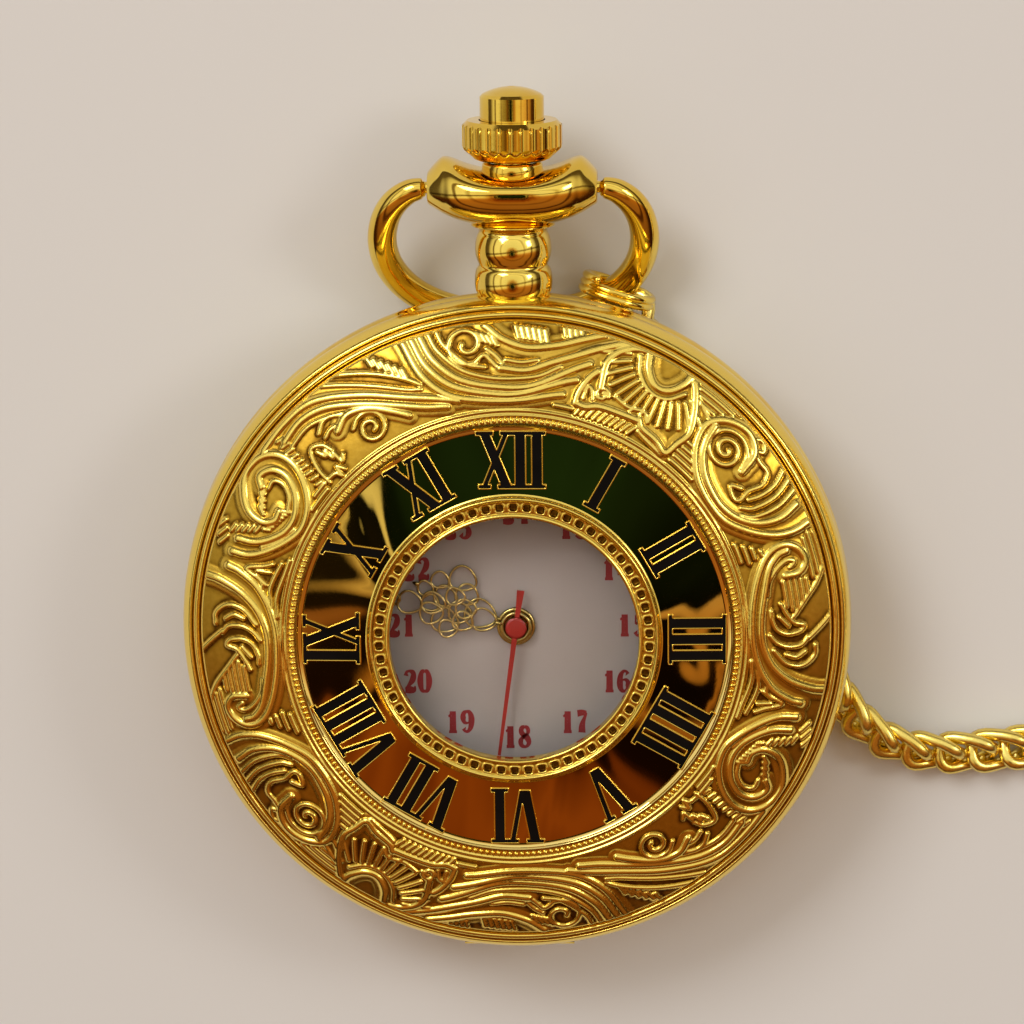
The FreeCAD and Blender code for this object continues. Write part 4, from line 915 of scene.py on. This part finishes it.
def filigree(name, node, rings, tip, angle, z, hub, body):
    """A hand of fine openwork rings on a hub, with a slender tip."""
    along, aside = heading(math.radians(angle))
    base = np.array([0, 0, z + HAND_WIRE])
    parts = []
    steps = np.arange(28) * TAU / 28
    for reach, sideways, radius in rings:
        centre = base + along * reach + aside * sideways
        # Each ring is a little drawn out and out of true, as stamped openwork is.
        lean = 0.9 * math.sin(7 * reach + 3 * sideways)
        line = [centre + radius * (along * math.cos(a) * (1 + 0.12 * math.cos(lean))
                                   + aside * (math.sin(a) + 0.14 * math.sin(2 * a + lean)))
                for a in steps]
        parts.append(tube_part(line, HAND_WIRE, 8, closed=True))
    last = max(reach + radius for reach, sideways, radius in rings if sideways == 0)
    parts.append(tube_part([base + along * STALK_START, base + along * STALK_END],
                           STALK_WIRE, 8))
    parts.append(tube_part([base + along * last, base + along * (last + tip) / 2,
                            base + along * tip], TIP_WIRE, 8, flat=0.5))
    parts.append(lathe_part([(hub - 0.34, z), (hub, z), (hub, z + 0.12), (hub - 0.08, z + 0.2),
                             (hub - 0.22, z + 0.2), (hub - 0.34, z + 0.1)], 64, closed=True))
    hand = add_parts(name, parts, GILT, body)
    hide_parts(node)


SECOND_ANGLE = -97.8
SECOND_THICK = 0.12
# Reach and half width along the needle, and along the tail.
SECOND_BLADES = (((0.0, 0.19), (4.0, 0.15), (9.3, 0.11)),
                 ((0.0, 0.17), (-1.2, 0.17), (-2.72, 0.26)))


def make_second_hand():
    """The red seconds hand: a hub, a tapering needle and a short broad tail."""
    along, aside = heading(math.radians(SECOND_ANGLE))
    bottom, top = SECOND_Z, SECOND_Z + SECOND_THICK
    parts = []
    for stations in SECOND_BLADES:
        points = [along * reach + aside * side + (0, 0, z) for reach, half in stations
                  for side in (-half, half) for z in (bottom, top)]
        faces = []
        for row in range(len(stations) - 1):
            a = 4 * row
            faces += [(a + 1, a + 3, a + 7, a + 5), (a, a + 4, a + 6, a + 2),
                      (a, a + 1, a + 5, a + 4), (a + 2, a + 6, a + 7, a + 3)]
        end = 4 * (len(stations) - 1)
        faces.append((end, end + 1, end + 3, end + 2))
        parts.append((points, faces))
    hub = [(0.0, bottom), (0.72, bottom), (0.74, top + 0.02), (0.6, top + 0.1),
           (0.2, top + 0.13), (0.0, top + 0.13)]
    parts.append(lathe_part(hub, 48))
    hand = add_parts("second_hand_painted", parts, RED, "second", smooth=False)
    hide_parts("second_hand")


def make_dial_side():
    make_red_numbers()
    make_dial_track()
    filigree("hour_hand_gilt", "hour_hand", HOUR_RINGS, HOUR_REACH, HOUR_ANGLE, HOUR_Z,
             HOUR_HUB, "hour")
    filigree("minute_hand_gilt", "minute_hand", MINUTE_RINGS, MINUTE_REACH, MINUTE_ANGLE,
             MINUTE_Z, MINUTE_HUB, "minute")
    make_second_hand()


# ------------------------------------------------------------ pendant, crown and bow

AXIS_Z = BOW_AXIS.z
NECK_PROFILE = [(1.36, 22.95), (2.3, 22.95), (2.5, 23.3), (2.66, 23.7), (2.7, 24.35),
                (2.6, 25.0), (2.4, 25.34), (2.5, 25.66), (2.64, 26.2), (2.63, 26.85),
                (2.5, 27.4), (2.38, 27.66), (2.42, 27.85), (2.6, 28.0), (2.9, 28.2),
                (1.9, 28.6)]
# The bulb from its middle to its flats: (sideways, below the pins, above them, half depth).
BULB_SECTIONS = [(0.0, 2.62, 1.12, 3.9), (1.2, 2.6, 1.16, 3.88), (2.4, 2.48, 1.38, 3.7),
                 (3.4, 2.25, 1.7, 3.4), (4.1, 2.02, 2.02, 3.05), (4.6, 1.8, 2.16, 2.7),
                 (4.95, 1.62, 2.08, 2.45), (5.4, 1.34, 1.66, 2.1), (5.78, 1.1, 1.22, 1.75),
                 (5.85, 1.0, 1.1, 1.6)]
BULB_FULLNESS = 0.86
BULB_STEPS = 96
SEAT_PROFILE = [(1.36, 30.8), (2.1, 30.8), (2.1, 32.3), (2.02, 32.44), (1.86, 32.5),
                (1.36, 32.5)]


def make_pendant():
    """The neck of two beads, and the saddle-topped bulb with flats where the bow is pinned."""
    middle = (0, 0, AXIS_Z)
    parts = [lathe_part(smooth_profile(NECK_PROFILE, 4), 120, middle, "Y", closed=True),
             lathe_part(SEAT_PROFILE, 72, middle, "Y", closed=True)]
    half = smooth_profile(BULB_SECTIONS, 4)
    sections = np.concatenate([half[::-1] * (-1, 1, 1, 1), half[1:]])
    around = np.arange(BULB_STEPS) * TAU / BULB_STEPS
    rise = np.sign(np.sin(around)) * np.abs(np.sin(around)) ** BULB_FULLNESS
    depth = np.sign(np.cos(around)) * np.abs(np.cos(around)) ** BULB_FULLNESS
    rows = []
    for x, below, above, deep in sections:
        reach = np.where(rise > 0, above, below) * rise
        rows.append(np.stack([np.full(BULB_STEPS, x), BOW_AXIS.y + reach,
                              AXIS_Z + deep * depth], -1))
    first, last = range(BULB_STEPS), range(len(rows) * BULB_STEPS)[-BULB_STEPS:]
    faces = grid_faces(len(rows), BULB_STEPS) + [tuple(first), tuple(last[::-1])]
    parts.append((np.array(rows).reshape(-1, 3), flipped(faces)))
    piece = add_parts("pendant_skin", parts, GOLD, "case")
    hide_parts("pendant")


FLUTES, FLUTE_STEPS = 28, 12
FLUTE_DEPTH = 0.3
CROWN_PROFILE = [(2.3, 32.72), (2.62, 32.74), (2.8, 32.9), (3.3, 33.35), (3.42, 33.52),
                 (3.45, 33.7), (3.46, 34.2), (3.45, 34.66), (3.34, 34.94), (3.14, 35.16),
                 (2.86, 35.33), (2.42, 35.4), (2.3, 35.36)]


def make_crown_skin():
    """The crown's outside, whose flutes run out in scallops at its two bevels."""
    profile = smooth_profile(CROWN_PROFILE, 4)
    count = FLUTES * FLUTE_STEPS
    angles = np.arange(count) * TAU / count
    share = (np.arange(count) % FLUTE_STEPS + 0.5) / FLUTE_STEPS
    fluted = CROWN_PROFILE[6][0] - FLUTE_DEPTH * (1 - (2 * share - 1) ** 2)
    radius = np.minimum(profile[:, :1], fluted[None, :])
    grid = np.stack([radius * np.cos(angles), np.repeat(profile[:, 1:], count, 1),
                     AXIS_Z - radius * np.sin(angles)], -1)
    add_mesh("crown_skin", grid.reshape(-1, 3), flipped(grid_faces(len(profile), count)), GOLD,
             "crown")


# The bow's middle line in its own plane: (sideways, reach from the pins, wire radius).
BOW_LINE = ((5.5, 0.0, 0.45), (6.05, 0.0, 0.42), (6.2, 0.02, 0.62), (6.5, 0.08, 0.76),
            (7.3, 0.42, 0.86), (8.2, 1.3, 0.95), (8.85, 2.6, 1.0), (9.15, 4.3, 1.03),
            (9.0, 6.0, 1.03), (8.45, 7.5, 1.03), (7.5, 8.85, 1.03), (6.2, 9.95, 1.03),
            (4.4, 10.8, 1.0), (2.2, 11.2, 1.0), (0.0, 11.25, 1.0))
BOW_TILT = math.radians(30.3)
BOW_LEAN = 0.018


def make_bow():
    """The bow, a round wire bent to a flattened ring and pinned into the bulb's flats."""
    right = [(x - BOW_LEAN * v, v, radius) for x, v, radius in BOW_LINE]
    left = [(-x - BOW_LEAN * v, v, radius) for x, v, radius in reversed(BOW_LINE[:-1])]
    line = smooth_profile(right + left, 6)
    places = np.stack([line[:, 0], BOW_AXIS.y - line[:, 1] * math.cos(BOW_TILT),
                       BOW_AXIS.z - line[:, 1] * math.sin(BOW_TILT)], -1)
    points, faces = tube_part(places, line[:, 2], 24)
    piece = add_mesh("bow_wire", points, faces, GOLD, "bow")
    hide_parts("bow")


RING_CENTRE = np.array([7.15, 22.8, 2.95])
RING_SIDEWAYS = np.array([0.94, -0.33, 0.0])
RING_RADIUS, RING_WIRE = 2.45, 0.31
RING_START, RING_TURNS, RING_STEPS = 2.2, 2.15, 160
RING_SPREAD = 0.992     # how far apart the wire's two ends lie


def make_split_ring():
    """The split ring: a flattened wire wound round twice."""
    sideways = RING_SIDEWAYS / np.linalg.norm(RING_SIDEWAYS)
    upward = np.array([0.0, 0.05, 1.0])
    normal = np.cross(sideways, upward)
    line = []
    for share in np.linspace(0, 1, RING_STEPS):
        a = RING_START + TAU * RING_TURNS * share
        line.append(RING_CENTRE + RING_RADIUS * (sideways * math.cos(a) + upward * math.sin(a))
                    + normal * RING_SPREAD * (share - 0.5))
    points, faces = tube_part(line, RING_WIRE, 10)
    piece = add_mesh("split_ring_wire", points, faces, GOLD, "bow")
    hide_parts("split_ring")


# ------------------------------------------------------------ chain

CHAIN_WIDTH = 3.4
LINK_WIRE = 0.47
LINK_PITCH = 2.35
LINK_HALF = 1.95        # half the length of a link's middle line
LINK_REACH = 0.0012     # metres either way over which a link takes its direction
LINK_TWIST = 0.5
CHAIN_Z = LINK_TWIST + LINK_WIRE + 0.11
ROLL_RISE = 1.25        # how far a link's middle rises when it stands on edge
COIL_CENTRE = ((COIL_LOW + COIL_HIGH) / 2).xy
# Places of the chain's middle line: (x, y, rise above its lying height).
CHAIN_ROUTE = (
    (8.5, 21.8, 1.15), (8.4, 20.0, 1.1), (10.0, 17.4, 0.2), (13.0, 14.6, 0.0),
    (16.0, 11.2, 0.0), (18.2, 7.2, 0.0), (19.7, 3.0, 0.0), (20.7, -1.3, 0.2),
    (22.0, -6.2, 0.7), (25.5, -9.9, 0.95), (29.0, -11.1, 0.8), (32.6, -11.1, 0.5),
    (36.4, -10.8, 0.2), (42.0, -10.1, 0.0), (48.0, -10.6, 0.0), (54.0, -11.5, 0.0),
    (61.0, -11.3, 0.0),
)
COIL_TURNS, COIL_PITCH, COIL_STEPS = 2, 3.5, 14
CHAIN_END = ((67.9, -2.3, 0.0), (72.0, 2.4, 0.0), (71.3, 7.8, 0.0), (67.3, 9.9, 0.0))


def chain_corners():
    """The route, the coil's turns worked out, and the lead to the clasp at its middle."""
    corners = list(CHAIN_ROUTE)
    reach = COIL_CENTRE.y - CHAIN_ROUTE[-1][1]
    for step in range(1, COIL_TURNS * COIL_STEPS + 1):
        angle = TAU * step / COIL_STEPS - math.pi / 2
        radius = reach - COIL_PITCH * step / COIL_STEPS
        corners.append((COIL_CENTRE.x + radius * math.cos(angle),
                        COIL_CENTRE.y + radius * math.sin(angle), 0.0))
    return corners + list(CHAIN_END)


def route_points():
    """Points of the smooth line through the chain's route, in metres."""
    curve = bpy.data.curves.new("chain_line", "CURVE")
    curve.dimensions = "3D"
    spline = curve.splines.new("NURBS")
    corners = chain_corners()
    spline.points.add(len(corners) - 1)
    for point, (x, y, rise) in zip(spline.points, corners):
        point.co = (x * MM, y * MM, (CHAIN_Z + rise) * MM, 1)
    spline.order_u = 3
    spline.use_endpoint_u = True
    spline.resolution_u = 12
    carrier = bpy.data.objects.new("chain_line", curve)
    line = bpy.data.meshes.new_from_object(carrier)
    points = np.array([vertex.co for vertex in line.vertices])
    bpy.data.objects.remove(carrier)
    bpy.data.meshes.remove(line)
    return points


def link_part(centre, ahead):
    """One curb link: an oval of round wire, twisted so that it lies through its neighbours.

    It stands on edge more the higher its middle is.
    """
    roll = math.asin(min(max((centre[2] - CHAIN_Z) / ROLL_RISE, 0.0), 0.9))
    flat = np.array([-ahead[1], ahead[0], 0])
    flat /= np.linalg.norm(flat)
    upward = np.cross(ahead, flat)
    aside = flat * math.cos(roll) + upward * math.sin(roll)
    upward = np.cross(ahead, aside)
    line = []
    for a in np.arange(26) * TAU / 26:
        x = LINK_HALF * np.sign(math.cos(a)) * abs(math.cos(a)) ** 0.8
        y = (CHAIN_WIDTH / 2 - LINK_WIRE) * np.sign(math.sin(a)) * abs(math.sin(a)) ** 0.8
        line.append(centre + ahead * x + aside * y + upward * LINK_TWIST * math.sin(2 * a))
    return tube_part(line, LINK_WIRE, 9, closed=True)


def make_chain():
    """The chain's links along its route, and the clasp at its end."""
    path = route_points()
    steps = np.linalg.norm(np.diff(path, axis=0), axis=1)
    travelled = np.concatenate([[0], np.cumsum(steps)])
    length = travelled[-1]
    count = int(length / (LINK_PITCH * MM))

    def spot_at(distance):
        return np.array([np.interp(distance, travelled, path[:, axis]) for axis in range(3)])

    parts = []
    for index in range(count):
        middle = (index + 0.5) * length / count
        ahead = spot_at(middle + LINK_REACH) - spot_at(middle - LINK_REACH)
        parts.append(link_part(spot_at(middle) / MM, ahead / np.linalg.norm(ahead)))
    chain = add_parts("chain_links", parts, CHAIN_GOLD, "case")
    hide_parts("chain_run", "chain_coil")
    clasp = make_clasp()


CLASP_Z = 1.4
EYE_PLACE, EYE_RADIUS, EYE_WIRE = 4.1, 2.1, 0.5
COLLAR_PLACE = 1.2
COLLAR_PROFILE = [(0.5, -0.6), (1.1, -0.5), (1.15, 0.0), (0.85, 0.25), (1.1, 0.5), (1.0, 0.9),
                  (0.5, 1.0)]
# The two wires of the hook's loop: the fixed hook and the sprung lever, each with the radius
# of its wire at either end.
CLASP_WIRES = (
    ([(0.8, 0, 0), (0.2, 0.9, 0), (-1.6, 1.25, 0), (-3.6, 1.2, 0), (-4.7, 0.4, 0),
      (-4.5, -0.7, 0), (-3.2, -1.2, 0)], 0.62, 0.42),
    ([(0.8, -0.2, 0), (0.1, -1.0, 0), (-1.4, -1.3, 0), (-3.0, -1.25, 0)], 0.6, 0.38),
)


def make_clasp():
    """A swivel clasp: an eye for the chain, a turned collar and a sprung hook."""
    centre = np.array([COIL_CENTRE.x, COIL_CENTRE.y, CLASP_Z])
    eye = [centre + (EYE_PLACE + EYE_RADIUS * math.cos(a), EYE_RADIUS * math.sin(a), 0)
           for a in np.arange(32) * TAU / 32]
    collar = lathe_points(COLLAR_PROFILE, 32, along="Y")[:, [1, 0, 2]]
    parts = [tube_part(eye, EYE_WIRE, 10, closed=True),
             (collar + centre + (COLLAR_PLACE, 0, 0), grid_faces(len(COLLAR_PROFILE), 32))]
    for corners, thick, thin in CLASP_WIRES:
        line = smooth_profile(corners, 6)
        parts.append(tube_part(line + centre, np.linspace(thick, thin, len(line)), 12))
    clasp = add_parts("clasp_hook", parts, CHAIN_GOLD, "case")
    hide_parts("end_clasp")
    return clasp


# ------------------------------------------------------------ camera, floor and light

# The view: tilted towards the crown, a little to the right, and turned by a hair.
VIEW_TILT, VIEW_SIDE, VIEW_ROLL = math.radians(12.34), math.radians(2.34), math.radians(-0.62)
VIEW_AIM = Vector((-0.314, 7.6, 6.0))
VIEW_DISTANCE = 300.0
SENSOR_WIDTH, FOCAL_LENGTH = 36.0, 150.0


def make_camera():
    back = Vector((math.sin(VIEW_SIDE) * math.cos(VIEW_TILT), math.sin(VIEW_TILT),
                   math.cos(VIEW_SIDE) * math.cos(VIEW_TILT)))
    up = Vector((0, 1, 0))
    up = (up - back * up.dot(back)).normalized()
    right = up.cross(back)
    rolled = right * math.cos(VIEW_ROLL) + up * math.sin(VIEW_ROLL)
    upright = up * math.cos(VIEW_ROLL) - right * math.sin(VIEW_ROLL)
    turn = Matrix((rolled, upright, back)).transposed().to_4x4()
    data = bpy.data.cameras.new("camera")
    data.sensor_width = SENSOR_WIDTH
    data.lens = FOCAL_LENGTH
    data.clip_start, data.clip_end = 0.01, 10.0
    camera = bpy.data.objects.new("camera", data)
    camera.matrix_world = Matrix.Translation((VIEW_AIM + back * VIEW_DISTANCE) * MM) @ turn
    bpy.context.scene.collection.objects.link(camera)
    bpy.context.scene.camera = camera


def add_area(name, place, size, power, colour):
    """A soft square light at a place in metres, aimed at the watch."""
    data = bpy.data.lights.new(name, "AREA")
    data.size = size
    data.energy = power
    data.color = colour
    light = bpy.data.objects.new(name, data)
    light.location = place
    light.rotation_euler = (-Vector(place)).to_track_quat("-Z", "Y").to_euler()
    bpy.context.scene.collection.objects.link(light)


FLOOR_HALF, FLOOR_DROP = 2, 0.00005     # in metres: half its side, and how far it lies below 0


def make_floor():
    material, _, _, shader = new_material("pale_floor")
    shader.inputs["Base Color"].default_value = (0.74, 0.74, 0.75, 1)
    shader.inputs["Roughness"].default_value = 0.75
    mesh = bpy.data.meshes.new("floor")
    corners = [(x * FLOOR_HALF, y * FLOOR_HALF, 0) for x, y in ((-1, -1), (1, -1), (1, 1), (-1, 1))]
    mesh.from_pydata(corners, [], [(0, 1, 2, 3)])
    mesh.materials.append(material)
    floor = bpy.data.objects.new("floor", mesh)
    bpy.context.scene.collection.objects.link(floor)
    floor.location.z = -FLOOR_DROP


SLOPE_WAY = (-0.12, 0.99, 0.0)          # from the warm side of the room to the bright one
PATCH_WAY = (-0.02, -0.16, 0.987)       # towards the middle of the dark room overhead
PATCH_STRETCH, PATCH_TURN, PATCH_WAVER = (26.0, 9.0, 6.0), 0.5, 0.14


def make_world():
    """A soft studio: a bright band of sky, a dim warm side and a dark patch overhead.

    Gold shows little but what it mirrors, so each ramp's stops are places in the room.
    """
    world = bpy.data.worlds.new("studio")
    bpy.context.scene.world = world
    world.use_nodes = True
    nodes = world.node_tree.nodes
    links = world.node_tree.links
    background = nodes["Background"]
    way = nodes.new("ShaderNodeTexCoord").outputs["Generated"]
    parts = nodes.new("ShaderNodeSeparateXYZ")
    links.new(way, parts.inputs["Vector"])
    sky = ramp(nodes, links, parts.outputs["Z"],
               [(0.0, (0.08, 0.06, 0.04)), (0.22, (0.12, 0.09, 0.06)),
                (0.34, (0.66, 0.62, 0.54)), (0.45, (0.85, 0.82, 0.74)),
                (0.485, (0.22, 0.16, 0.09)), (0.53, (0.20, 0.14, 0.08)),
                (0.57, (0.95, 0.93, 0.86)), (0.76, (1.0, 0.98, 0.92)),
                (0.80, (0.62, 0.55, 0.40)), (0.82, (0.60, 0.52, 0.36)),
                (0.84, (0.98, 0.95, 0.87)), (0.97, (0.86, 0.84, 0.76))])
    slope = nodes.new("ShaderNodeVectorMath")
    slope.operation = "DOT_PRODUCT"
    slope.inputs[1].default_value = SLOPE_WAY
    links.new(way, slope.inputs[0])
    side = ramp(nodes, links, spread(nodes, links, slope.outputs["Value"], 0.0, 1.0, -1.0),
                [(0.0, (0.28, 0.11, 0.035)), (0.20, (0.34, 0.14, 0.05)),
                 (0.345, (0.44, 0.17, 0.045)), (0.38, (0.60, 0.28, 0.09)),
                 (0.415, (1.0, 0.88, 0.68)), (0.437, (1.0, 0.96, 0.85)),
                 (0.447, (0.30, 0.23, 0.12)), (0.472, (0.30, 0.24, 0.13)),
                 (0.482, (1.0, 1.0, 1.0))])
    lit = multiply(nodes, links, sky, side)
    # The dark room above, with streaky edges, that the polished ring mirrors.
    stretch = nodes.new("ShaderNodeMapping")
    stretch.inputs["Scale"].default_value = PATCH_STRETCH
    stretch.inputs["Rotation"].default_value = (0.0, 0.0, PATCH_TURN)
    links.new(way, stretch.inputs["Vector"])
    uneven = nodes.new("ShaderNodeTexNoise")
    uneven.inputs["Scale"].default_value = 1.0
    uneven.inputs["Detail"].default_value = 2.0
    uneven.inputs["Distortion"].default_value = 0.7
    links.new(stretch.outputs["Vector"], uneven.inputs["Vector"])
    near = nodes.new("ShaderNodeVectorMath")
    near.operation = "DISTANCE"
    near.inputs[1].default_value = PATCH_WAY
    links.new(way, near.inputs[0])
    edge = add_scaled(nodes, links, uneven.outputs["Fac"], PATCH_WAVER, near.outputs["Value"])
    shade = ramp(nodes, links, edge,
                 [(0.08, (0.012, 0.032, 0.012)), (0.14, (0.008, 0.018, 0.007)),
                  (0.170, (0.003, 0.005, 0.002)), (0.172, (0.85, 0.80, 0.55)),
                  (0.179, (0.90, 0.86, 0.62)), (0.182, (0.006, 0.006, 0.003)),
                  (0.200, (0.010, 0.008, 0.003)), (0.202, (0.80, 0.72, 0.46)),
                  (0.206, (0.60, 0.48, 0.26)), (0.209, (0.012, 0.010, 0.004)),
                  (0.226, (0.02, 0.014, 0.006)), (0.231, (0.34, 0.18, 0.08)),
                  (0.252, (0.62, 0.36, 0.18)), (0.272, (0.38, 0.19, 0.08)),
                  (0.33, (0.75, 0.54, 0.32)), (0.42, (1, 1, 1))])
    links.new(multiply(nodes, links, lit, shade), background.inputs["Color"])
    background.inputs["Strength"].default_value = 1.0


def make_lights():
    add_area("key_light", (-0.35, 0.45, 0.55), 0.3, 2.1, (1.0, 0.98, 0.94))
    add_area("fill_light", (0.5, 0.2, 0.4), 0.16, 0.65, (1.0, 0.96, 0.88))


# ------------------------------------------------------------ assembly of the scene

def main():
    make_camera()
    dress_nodes()
    make_chain()
    make_lid_skin()
    make_beads()
    make_numeral_ring()
    make_numerals()
    make_window_ring()
    make_dial_side()
    make_pendant()
    make_crown_skin()
    make_bow()
    make_split_ring()
    make_floor()
    make_world()
    make_lights()
    bpy.context.scene.view_settings.view_transform = "Standard"


main()
